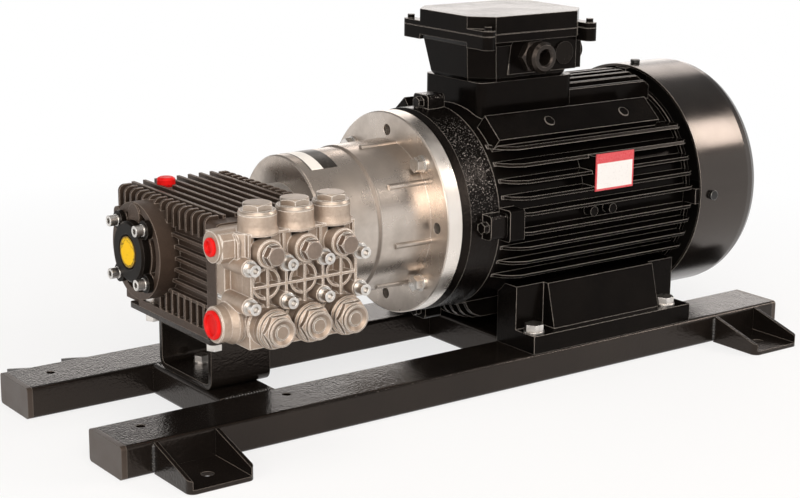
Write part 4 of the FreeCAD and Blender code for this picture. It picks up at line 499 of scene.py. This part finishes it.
def grid_mesh(name, points, wrap_u=False, wrap_v=False, flip=False):
    """Quad mesh over a grid of points shaped (rows, columns, 3). Wrap joins the last row or
    column to the first one, and flip turns the faces round."""
    rows, cols = points.shape[:2]
    u = np.arange(rows if wrap_u else rows - 1)
    v = np.arange(cols if wrap_v else cols - 1)
    a, b = np.meshgrid(u, v, indexing="ij")
    a1, b1 = (a + 1) % rows, (b + 1) % cols
    quads = np.stack([a * cols + b, a1 * cols + b, a1 * cols + b1, a * cols + b1], -1)
    quads = quads.reshape(-1, 4)
    if flip:
        quads = quads[:, ::-1]
    mesh = bpy.data.meshes.new(name)
    mesh.vertices.add(rows * cols)
    mesh.vertices.foreach_set("co", points.reshape(-1).astype(np.float32))
    mesh.loops.add(quads.size)
    mesh.loops.foreach_set("vertex_index", quads.reshape(-1).astype(np.int32))
    mesh.polygons.add(len(quads))
    mesh.polygons.foreach_set("loop_start", np.arange(0, quads.size, 4, dtype=np.int32))
    mesh.polygons.foreach_set("loop_total", np.full(len(quads), 4, dtype=np.int32))
    mesh.polygons.foreach_set("use_smooth", np.ones(len(quads), dtype=bool))
    mesh.update(calc_edges=True)
    mesh.validate()
    return mesh


def settle(name, mesh, finish, body):
    """Link a finished mesh as a piece of the object."""
    mesh.materials.append(finish)
    piece = bpy.data.objects.new(name, mesh)
    bpy.context.scene.collection.objects.link(piece)
    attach(piece, body)
    return piece


def bead_points(start, end, side_a, side_b, radius, pitch):
    """Weld bead from start to end: a round section spanned by two directions, half of it sunk
    in the parts it joins. Its radius swells from 0.86 to 1 as |sin| along the run, one lobe for
    each weld ripple, and closes at both ends by a square-root taper."""
    # distance between rings, points of a ring, swell, and least size and length of the taper
    spacing, sides, swell, tip, taper_length = 0.0006, 16, 0.14, 0.02, 1.2 * radius
    start, end = np.array(start, float), np.array(end, float)
    run = np.linalg.norm(end - start)
    t = np.linspace(0.0, 1.0, max(24, int(run / spacing)))
    ripple = 1.0 - swell + swell * np.abs(np.sin(np.pi * t * run / pitch))
    taper = np.sqrt(np.clip(np.minimum(t, 1 - t) * run / taper_length, 0.0, 1.0))
    size = radius * ripple * np.maximum(taper, tip)
    angle = np.linspace(0.0, 2 * np.pi, sides, endpoint=False)
    a, b = np.array(side_a, float), np.array(side_b, float)
    ring = np.cos(angle)[None, :, None] * a + np.sin(angle)[None, :, None] * b
    middle = start + t[:, None] * (end - start)
    return middle[:, None, :] + size[:, None, None] * ring


def label_points(ends, turns, corner):
    """Blank label wrapped on the bell: x runs along the axis between its ends and the other
    side along the angle between its turns, at the bell's own radius, which grows evenly with x.
    Near each end of x the sides draw in along a quarter circle, so that the corners are
    round."""
    rows, cols = 41, 49
    wide = (ends[1] - ends[0]) / 2
    tall = LABEL_RADIUS * (turns[1] - turns[0]) / 2
    along = wide * np.sin(np.linspace(-1.0, 1.0, rows) * np.pi / 2)[:, None]
    cut = np.clip(np.abs(along) - (wide - corner), 0.0, corner)
    reach = tall - corner + np.sqrt(np.clip(corner ** 2 - cut ** 2, 0.0, None))
    x = np.repeat(sum(ends) / 2 + along, cols, 1)
    radius = BARREL_RADIUS + (x - BARREL_START) * BARREL_GROWTH / BARREL_LENGTH
    turn = sum(turns) / 2 + reach * np.linspace(-1.0, 1.0, cols) / LABEL_RADIUS
    return np.stack([x, -radius * np.cos(turn), drive_height() + radius * np.sin(turn)], -1)


def drive_height():
    """Height of the drive axis, from the coupling."""
    low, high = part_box("coupling_motor_hub")
    return (low.z + high.z) / 2


def disc_points(x, inner, outer, lip):
    """Air baffle: a profile of radius and x, flat from the inner to the outer radius, with a
    turned lip at the rim and a returned back face, carried once round the drive axis."""
    # wall of the lip, slope at its foot, thickness of the disc, and sides of the turn
    wall, slope, thick, sides = 0.0008, 0.0004, 0.0010, 96
    radius = np.array([inner, outer - lip, outer, outer, outer - wall, outer - lip, inner])
    depth = np.array([0.0, 0.0, -slope, -lip, -lip, -thick, -thick])
    turn = np.linspace(0.0, 2 * np.pi, sides, endpoint=False)
    return np.stack([np.repeat((x + depth)[:, None], sides, 1),
                     radius[:, None] * np.cos(turn),
                     drive_height() + radius[:, None] * np.sin(turn)], -1)


# settings


class PumpLook(bpy.types.PropertyGroup):
    """Colours of the pump unit's finishes."""
    frame_black: bpy.props.FloatVectorProperty(
        name="Frame black", description="Powder coat on rails, feet and stand", subtype="COLOR",
        default=(0.0058, 0.0047, 0.0041), min=0.0, max=1.0)
    motor_black: bpy.props.FloatVectorProperty(
        name="Motor black", description="Enamel on the motor", subtype="COLOR",
        default=(0.0024, 0.0020, 0.0018), min=0.0, max=1.0)
    casting_dark: bpy.props.FloatVectorProperty(
        name="Crankcase coat", description="Dark coat on the crankcase", subtype="COLOR",
        default=(0.042, 0.029, 0.0215), min=0.0, max=1.0)
    head_silver: bpy.props.FloatVectorProperty(
        name="Valve head silver", description="Skin of the valve head casting", subtype="COLOR",
        default=(0.50, 0.41, 0.335), min=0.0, max=1.0)
    bell_silver: bpy.props.FloatVectorProperty(
        name="Bell silver", description="Turned aluminium of the bell housing", subtype="COLOR",
        default=(0.60, 0.525, 0.46), min=0.0, max=1.0)
    plug_red: bpy.props.FloatVectorProperty(
        name="Plug red", description="Filler cap and port plugs", subtype="COLOR",
        default=(0.76, 0.010, 0.009), min=0.0, max=1.0)
    sight_yellow: bpy.props.FloatVectorProperty(
        name="Sight yellow", description="Oil sight disc", subtype="COLOR",
        default=(0.90, 0.55, 0.003), min=0.0, max=1.0)
    gloss_tint: bpy.props.FloatVectorProperty(
        name="Gloss tint", description="Warm cast of the gloss on black paint", subtype="COLOR",
        default=(1.0, 0.84, 0.74), min=0.0, max=1.0)
    plate_red: bpy.props.FloatVectorProperty(
        name="Plate red", description="Border and band of the blank rating plate",
        subtype="COLOR", default=(0.58, 0.05, 0.06), min=0.0, max=1.0)


class PumpBeads(bpy.types.PropertyGroup):
    """Sizes of the weld beads."""
    radius: bpy.props.FloatProperty(
        name="Bead radius", description="Half-width of a fillet weld", default=0.0026,
        min=0.001, max=0.006, unit="LENGTH")
    pitch: bpy.props.FloatProperty(
        name="Ripple pitch", description="Distance between weld ripples", default=0.0031,
        min=0.001, max=0.01, unit="LENGTH")


class PumpStudio(bpy.types.PropertyGroup):
    """Camera and light."""
    eye: bpy.props.FloatVectorProperty(
        name="Camera place", description="Where the camera stands", subtype="XYZ",
        default=(-1.03394, -1.38161, 0.55620), unit="LENGTH")
    yaw: bpy.props.FloatProperty(
        name="Yaw", description="Camera heading from +Y towards +X", default=math.radians(36.23),
        subtype="ANGLE")
    pitch: bpy.props.FloatProperty(
        name="Pitch", description="Camera tilt above the horizon", default=math.radians(-14.22),
        subtype="ANGLE")
    roll: bpy.props.FloatProperty(
        name="Roll", description="Camera roll", default=math.radians(0.56), subtype="ANGLE")
    focal: bpy.props.FloatProperty(
        name="Focal length in pixels", description="Focal length over one pixel of the picture",
        default=1773.16, min=100.0)
    key: bpy.props.FloatProperty(
        name="Key light", description="Strength of the soft light over the front",
        default=25.0, min=0.0, unit="POWER")
    fill: bpy.props.FloatProperty(
        name="Fill light", description="Strength of the soft light at the left", default=17.0,
        min=0.0, unit="POWER")
    front: bpy.props.FloatProperty(
        name="Front light", description="Strength of the light behind the camera",
        default=28.0, min=0.0, unit="POWER")
    strip: bpy.props.FloatProperty(
        name="Side light", description="Strength of the light at the upper right", default=18.0,
        min=0.0, unit="POWER")
    back: bpy.props.FloatProperty(
        name="Back light", description="Strength of the low light behind", default=7.0,
        min=0.0, unit="POWER")
    rim: bpy.props.FloatProperty(
        name="Rim light", description="Strength of the light high behind", default=8.0,
        min=0.0, unit="POWER")
    overhead: bpy.props.FloatProperty(
        name="Overhead light", description="Strength of the light straight above", default=9.0,
        min=0.0, unit="POWER")
    sky: bpy.props.FloatProperty(
        name="Sky", description="Strength of the even light all round", default=0.28, min=0.0)


# operators


class PUMP_OT_frame_finish(bpy.types.Operator):
    """Powder coat the welded base frame and its end caps"""
    bl_idname = "pump.frame_finish"
    bl_label = "Base frame finish"

    def execute(self, context):
        look = context.scene.pump_look
        drape(frame_paint(look), "front_rail", "rear_rail", "pump_crossmember",
              "motor_crossmember", "foot_front_left", "foot_front_right", "foot_rear_left",
              "foot_rear_right", "pump_pedestal", "pump_mounting_plate")
        # the warm lift lightens the caps' black towards brown: painted warm light on the rail ends
        drape(moulded_black(look, "rail_cap_plastic", rough=0.30, gloss=0.8,
                            lift=(1.4, 1.05, 0.8)),
              "front_left_cap", "front_right_cap", "rear_left_cap", "rear_right_cap")
        return {"FINISHED"}


class PUMP_OT_crankcase_finish(bpy.types.Operator):
    """Finish the crankcase, its covers, sight disc and red caps"""
    bl_idname = "pump.crankcase_finish"
    bl_label = "Crankcase finish"

    def execute(self, context):
        look = context.scene.pump_look
        drape(dark_casting(look), "crankcase", "crankcase_rear_cover")
        drape(moulded_black(look, "bearing_cover_black", rough=0.30, gloss=0.08,
                            lift=(0.30, 0.27, 0.24)), "bearing_cover")
        drape(sight_disc(look), "sight_glass")
        drape(red_plastic(look), "oil_filler_cap", "outlet_plug", "inlet_plug")
        return {"FINISHED"}


class PUMP_OT_head_finish(bpy.types.Operator):
    """Finish the valve head, its caps and plugs"""
    bl_idname = "pump.head_finish"
    bl_label = "Valve head finish"

    def execute(self, context):
        drape(head_casting(context.scene.pump_look), "manifold_head")
        drape(turned_metal("suction_cap_metal", (0.40, 0.315, 0.25), "y", rough=0.46, corner_shade=0.8),
              "suction_valve_caps")
        drape(turned_metal("gallery_plug_steel", (0.30, 0.23, 0.185), "y", rough=0.34, corner_shade=0.8),
              "gallery_plugs")
        drape(turned_metal("discharge_cap_metal", (0.50, 0.41, 0.335), "z", rough=0.36,
                           corner_shade=0.9), "discharge_valve_caps")
        drape(turned_metal("seal_brass_turned", (0.70, 0.52, 0.26), "y", rough=0.3),
              "seal_carriers")
        return {"FINISHED"}


class PUMP_OT_drive_finish(bpy.types.Operator):
    """Finish the bell housing, flange and drive parts"""
    bl_idname = "pump.drive_finish"
    bl_label = "Drive finish"

    def execute(self, context):
        drape(bell_skin(context.scene.pump_look), "bell_housing")
        drape(turned_metal("hub_metal", (0.62, 0.61, 0.6), "x", rough=0.3), "pump_flange",
              "coupling_pump_hub", "coupling_motor_hub")
        drape(turned_metal("ground_steel", (0.55, 0.54, 0.53), "x", rough=0.22), "crankshaft",
              "crank_bearings", "motor_shaft")
        drape(turned_metal("ground_rod", (0.6, 0.59, 0.58), "y", rough=0.2), "crosshead_1",
              "crosshead_2", "crosshead_3", "plunger_1", "plunger_2", "plunger_3")
        return {"FINISHED"}


class PUMP_OT_fastener_finish(bpy.types.Operator):
    """Finish screws, nuts and washers"""
    bl_idname = "pump.fastener_finish"
    bl_label = "Fastener finish"

    def execute(self, context):
        drape(zinc_steel(), "head_bolts", "bearing_cover_screws", "bell_bolts",
              "pump_foot_bolts", "motor_foot_bolts", "pedestal_bolts", "oil_drain_plug")
        drape(zinc_steel("blackened_screws", colour=(0.06, 0.058, 0.056), rough=0.34),
              "cowl_screws")
        return {"FINISHED"}


class PUMP_OT_motor_finish(bpy.types.Operator):
    """Enamel the motor, its cowl and the terminal box"""
    bl_idname = "pump.motor_finish"
    bl_label = "Motor finish"

    def execute(self, context):
        look = context.scene.pump_look
        drape(motor_paint(look), "motor_frame", "motor_foot_front", "motor_foot_rear",
              "rear_endshield", "terminal_box", "terminal_box_lid")
        drape(motor_paint(look, "endshield_enamel", grain=3.0, rough=0.12, gloss=0.12,
                          painted_glints=0.75), "front_endshield")
        drape(motor_paint(look, "cowl_enamel", grain=0.22, rough=0.18, gloss=0.8), "fan_cowl")
        drape(moulded_black(look, "gland_plastic", rough=0.13, gloss=0.40,
                            lift=(0.5, 0.46, 0.42)), "cable_gland")
        drape(moulded_black(look, "plug_plastic", rough=0.2, gloss=0.10,
                            lift=(0.4, 0.37, 0.34)), "blanking_plugs")
        drape(moulded_black(look, "fan_plastic", rough=0.5), "cooling_fan")
        drape(stacked_sheet(), "stator_core")
        drape(blank_plate(look), "nameplate")
        return {"FINISHED"}


class PUMP_OT_weld_beads(bpy.types.Operator):
    """Lay the fillet welds of the base frame"""
    bl_idname = "pump.weld_beads"
    bl_label = "Weld beads"

    def execute(self, context):
        beads = context.scene.pump_beads
        finish = weld_metal(context.scene.pump_look)

        def lay(name, start, end, side_a, side_b, radius):
            """One bead, as a piece of the frame"""
            shape = bead_points(start, end, side_a, side_b, radius, beads.pitch)
            mesh = grid_mesh(name, shape, wrap_v=True)
            settle(name, mesh, finish, "frame_and_housings")

        # how far a foot's beads stop from its bottom and top
        bottom, top = 0.002, 0.001
        # how far a crossmember's beads stop from its sides and lie under its top, and how slim
        # they are
        inset, sunk, slim = 0.006, 0.0006, 0.8
        for node in ("foot_front_left", "foot_front_right", "foot_rear_left", "foot_rear_right"):
            low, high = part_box(node)
            side = -1.0 if high.y < 0 else 1.0
            face = high.y if side < 0 else low.y
            for index, (x, way) in enumerate(((low.x, -1.0), (high.x, 1.0))):
                lay("weld_%s_%d" % (node, index), (x, face, low.z + bottom),
                    (x, face, high.z - top), (way, 0, 0), (0, side, 0), beads.radius)
        for node in ("pump_crossmember", "motor_crossmember"):
            low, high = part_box(node)
            z = high.z - sunk
            for index, (y, way) in enumerate(((low.y, 1.0), (high.y, -1.0))):
                lay("weld_%s_%d" % (node, index), (low.x + inset, y, z),
                    (high.x - inset, y, z), (0, way, 0), (0, 0, 1), beads.radius * slim)
        return {"FINISHED"}


class PUMP_OT_bell_label(bpy.types.Operator):
    """Wrap a blank label on top of the bell housing"""
    bl_idname = "pump.bell_label"
    bl_label = "Blank label"

    def execute(self, context):
        shape = label_points(LABEL_ENDS, (math.radians(60), math.radians(118)), corner=0.0012)
        mesh = grid_mesh("bell_label", shape, flip=True)
        piece = settle("bell_label", mesh, blank_label(), "frame_and_housings")
        skin = piece.modifiers.new("thickness", "SOLIDIFY")
        skin.thickness = 0.00016
        skin.offset = 1.0
        return {"FINISHED"}


class PUMP_OT_air_baffle(bpy.types.Operator):
    """Close the motor's rear with the black air baffle in front of the fan"""
    bl_idname = "pump.air_baffle"
    bl_label = "Air baffle"

    def execute(self, context):
        gap = 0.0008
        shape = disc_points(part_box("cooling_fan")[0].x - gap, inner=0.0172, outer=0.1190,
                            lip=0.0020)
        mesh = grid_mesh("air_baffle", shape, wrap_u=True, wrap_v=True)
        black = moulded_black(context.scene.pump_look, "baffle_black", rough=0.6, gloss=0.1)
        settle("air_baffle", mesh, black, "frame_and_housings")
        return {"FINISHED"}


class PUMP_OT_studio(bpy.types.Operator):
    """Set up the floor, the lights and the camera"""
    bl_idname = "pump.studio"
    bl_label = "Studio"

    def execute(self, context):
        scene = context.scene
        studio = scene.pump_studio
        scene.view_settings.view_transform = "Standard"
        self.floor()
        self.sky(scene)
        self.lamp("key_top", (-0.85, -1.9, 1.75), (0.0, 0.0, 0.15), (2.1, 1.5), studio.key)
        self.lamp("fill_left", (-2.5, -0.7, 1.0), (-0.1, 0.0, 0.15), (1.2, 1.2), studio.fill)
        self.lamp("fill_front", (-1.45, -2.10, 1.00), (-0.2, -0.1, 0.15), (1.7, 1.2),
                  studio.front)
        self.lamp("strip_right", (1.9, -1.18, 1.35), (0.3, 0.0, 0.2), (0.55, 0.75), studio.strip)
        self.lamp("back_low", (1.9, 2.6, 0.62), (0.1, 0.0, 0.25), (2.6, 0.7), studio.back,
                  LOW_BACK_TONE)
        self.lamp("back_high", (1.8, 1.5, 1.4), (0.2, 0.0, 0.2), (1.3, 0.8), studio.rim,
                  HIGH_BACK_TONE)
        self.lamp("overhead", (-0.2, -0.3, 2.4), (-0.1, 0.0, 0.1), (1.2, 1.2), studio.overhead)
        data = bpy.data.cameras.new("studio_camera")
        data.lens = studio.focal * SENSOR / PHOTO_WIDTH
        data.sensor_width = SENSOR
        data.clip_end = 20.0
        camera = bpy.data.objects.new("studio_camera", data)
        scene.collection.objects.link(camera)
        camera.matrix_world = self.pose(studio)
        scene.camera = camera
        return {"FINISHED"}

    def pose(self, studio):
        """Camera matrix from its place, heading, tilt and roll."""
        ahead = Vector((math.sin(studio.yaw) * math.cos(studio.pitch),
                        math.cos(studio.yaw) * math.cos(studio.pitch), math.sin(studio.pitch)))
        right = ahead.cross(Vector((0, 0, 1))).normalized()
        up = right.cross(ahead)
        c, s = math.cos(studio.roll), math.sin(studio.roll)
        right, up = right * c + up * s, up * c - right * s
        turn = Matrix((right, up, -ahead)).transposed().to_4x4()
        return Matrix.Translation(Vector(studio.eye)) @ turn

    def lamp(self, name, place, target, size, power, tone=FRONT_TONE):
        """Rectangular soft light that looks at a target."""
        data = bpy.data.lights.new(name, "AREA")
        data.color = tone
        data.shape = "RECTANGLE"
        data.size, data.size_y = size
        data.energy = power
        lamp = bpy.data.objects.new(name, data)
        bpy.context.scene.collection.objects.link(lamp)
        way = Vector(place) - Vector(target)
        lamp.location = place
        lamp.rotation_euler = way.to_track_quat("Z", "Y").to_euler()

    def floor(self):
        """Pale floor that sweeps up into a low round wall: a profile in radius and height, flat,
        then a quarter turn, then upright, carried once round. Rays from the camera, from gloss
        and through glass see it white, less so near the object, where its shadow falls."""
        near, far, share_near = 0.40, 1.0, 0.72
        g = Graph("pale_floor")
        camera, gloss, glass = [
            g.make("ShaderNodeLightPath", out=name)
            for name in ("Is Camera Ray", "Is Glossy Ray", "Is Transmission Ray")]
        away = g.vector("LENGTH", g.place, out="Value")
        share = camera.either(gloss).either(glass) * g.span(away, near, far, share_near, 1.0)
        matt = g.make("ShaderNodeBsdfDiffuse", Color=(0.90, 0.90, 0.90))
        white = g.make("ShaderNodeEmission", Color=(1.0, 1.0, 1.0), Strength=1.0)
        g.make("ShaderNodeOutputMaterial",
               Surface=g.make("ShaderNodeMixShader", i0=share, i1=matt, i2=white))
        # first, last and number of the flat's rings, then start and radius of the bend
        start, end, rings = 0.001, 4.6, 24
        bend_start, bend = 4.7, 0.9
        # top of the wall, depth of the floor under the feet, and sides of the sweep
        top, drop, sides = 1.9, 0.0004, 96
        turn = np.linspace(0.0, np.pi / 2, 13)
        radius = np.concatenate([np.linspace(start, end, rings),
                                 bend_start + bend * np.sin(turn), [bend_start + bend]])
        height = np.concatenate([np.zeros(rings), bend * (1.0 - np.cos(turn)), [top]]) - drop
        angle = np.linspace(0.0, 2 * np.pi, sides, endpoint=False)
        sweep = np.stack([radius[:, None] * np.cos(angle), radius[:, None] * np.sin(angle),
                          np.repeat(height[:, None], sides, 1)], -1)
        mesh = grid_mesh("floor", sweep, wrap_v=True)
        mesh.materials.append(g.owner)
        piece = bpy.data.objects.new("floor", mesh)
        bpy.context.scene.collection.objects.link(piece)

    def sky(self, scene):
        """Even light from all round."""
        g = Graph("studio_sky", "worlds")
        even = g.make("ShaderNodeBackground", Color=(1.0, 1.0, 1.0),
                      Strength=scene.pump_studio.sky)
        g.make("ShaderNodeOutputWorld", Surface=even)
        scene.world = g.owner


class PUMP_PT_panel(bpy.types.Panel):
    """Sidebar list of the pump unit's settings and operators"""
    bl_idname = "PUMP_PT_panel"
    bl_label = "Pump Unit"
    bl_space_type = "VIEW_3D"
    bl_region_type = "UI"
    bl_category = "Pump Unit"

    def draw(self, context):
        layout = self.layout
        for group in (context.scene.pump_look, context.scene.pump_beads,
                      context.scene.pump_studio):
            box = layout.box()
            for key in group.bl_rna.properties.keys():
                if key not in ("rna_type", "name"):
                    box.prop(group, key)
        for operator in OPERATORS:
            layout.operator(operator.bl_idname)


OPERATORS = (PUMP_OT_frame_finish, PUMP_OT_crankcase_finish, PUMP_OT_head_finish,
             PUMP_OT_drive_finish, PUMP_OT_fastener_finish, PUMP_OT_motor_finish,
             PUMP_OT_weld_beads, PUMP_OT_bell_label, PUMP_OT_air_baffle, PUMP_OT_studio)
GROUPS = (PumpLook, PumpBeads, PumpStudio)


def register():
    """Add the settings, the operators and the panel."""
    for item in GROUPS + OPERATORS + (PUMP_PT_panel,):
        bpy.utils.register_class(item)
    bpy.types.Scene.pump_look = bpy.props.PointerProperty(type=PumpLook)
    bpy.types.Scene.pump_beads = bpy.props.PointerProperty(type=PumpBeads)
    bpy.types.Scene.pump_studio = bpy.props.PointerProperty(type=PumpStudio)


def unregister():
    """Take them away again."""
    del bpy.types.Scene.pump_studio
    del bpy.types.Scene.pump_beads
    del bpy.types.Scene.pump_look
    for item in reversed(GROUPS + OPERATORS + (PUMP_PT_panel,)):
        bpy.utils.unregister_class(item)


def main():
    """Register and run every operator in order."""
    register()
    for call in (bpy.ops.pump.frame_finish, bpy.ops.pump.crankcase_finish,
                 bpy.ops.pump.head_finish, bpy.ops.pump.drive_finish,
                 bpy.ops.pump.fastener_finish, bpy.ops.pump.motor_finish,
                 bpy.ops.pump.weld_beads, bpy.ops.pump.bell_label, bpy.ops.pump.air_baffle,
                 bpy.ops.pump.studio):
        call()


if __name__ == "__main__":
    main()
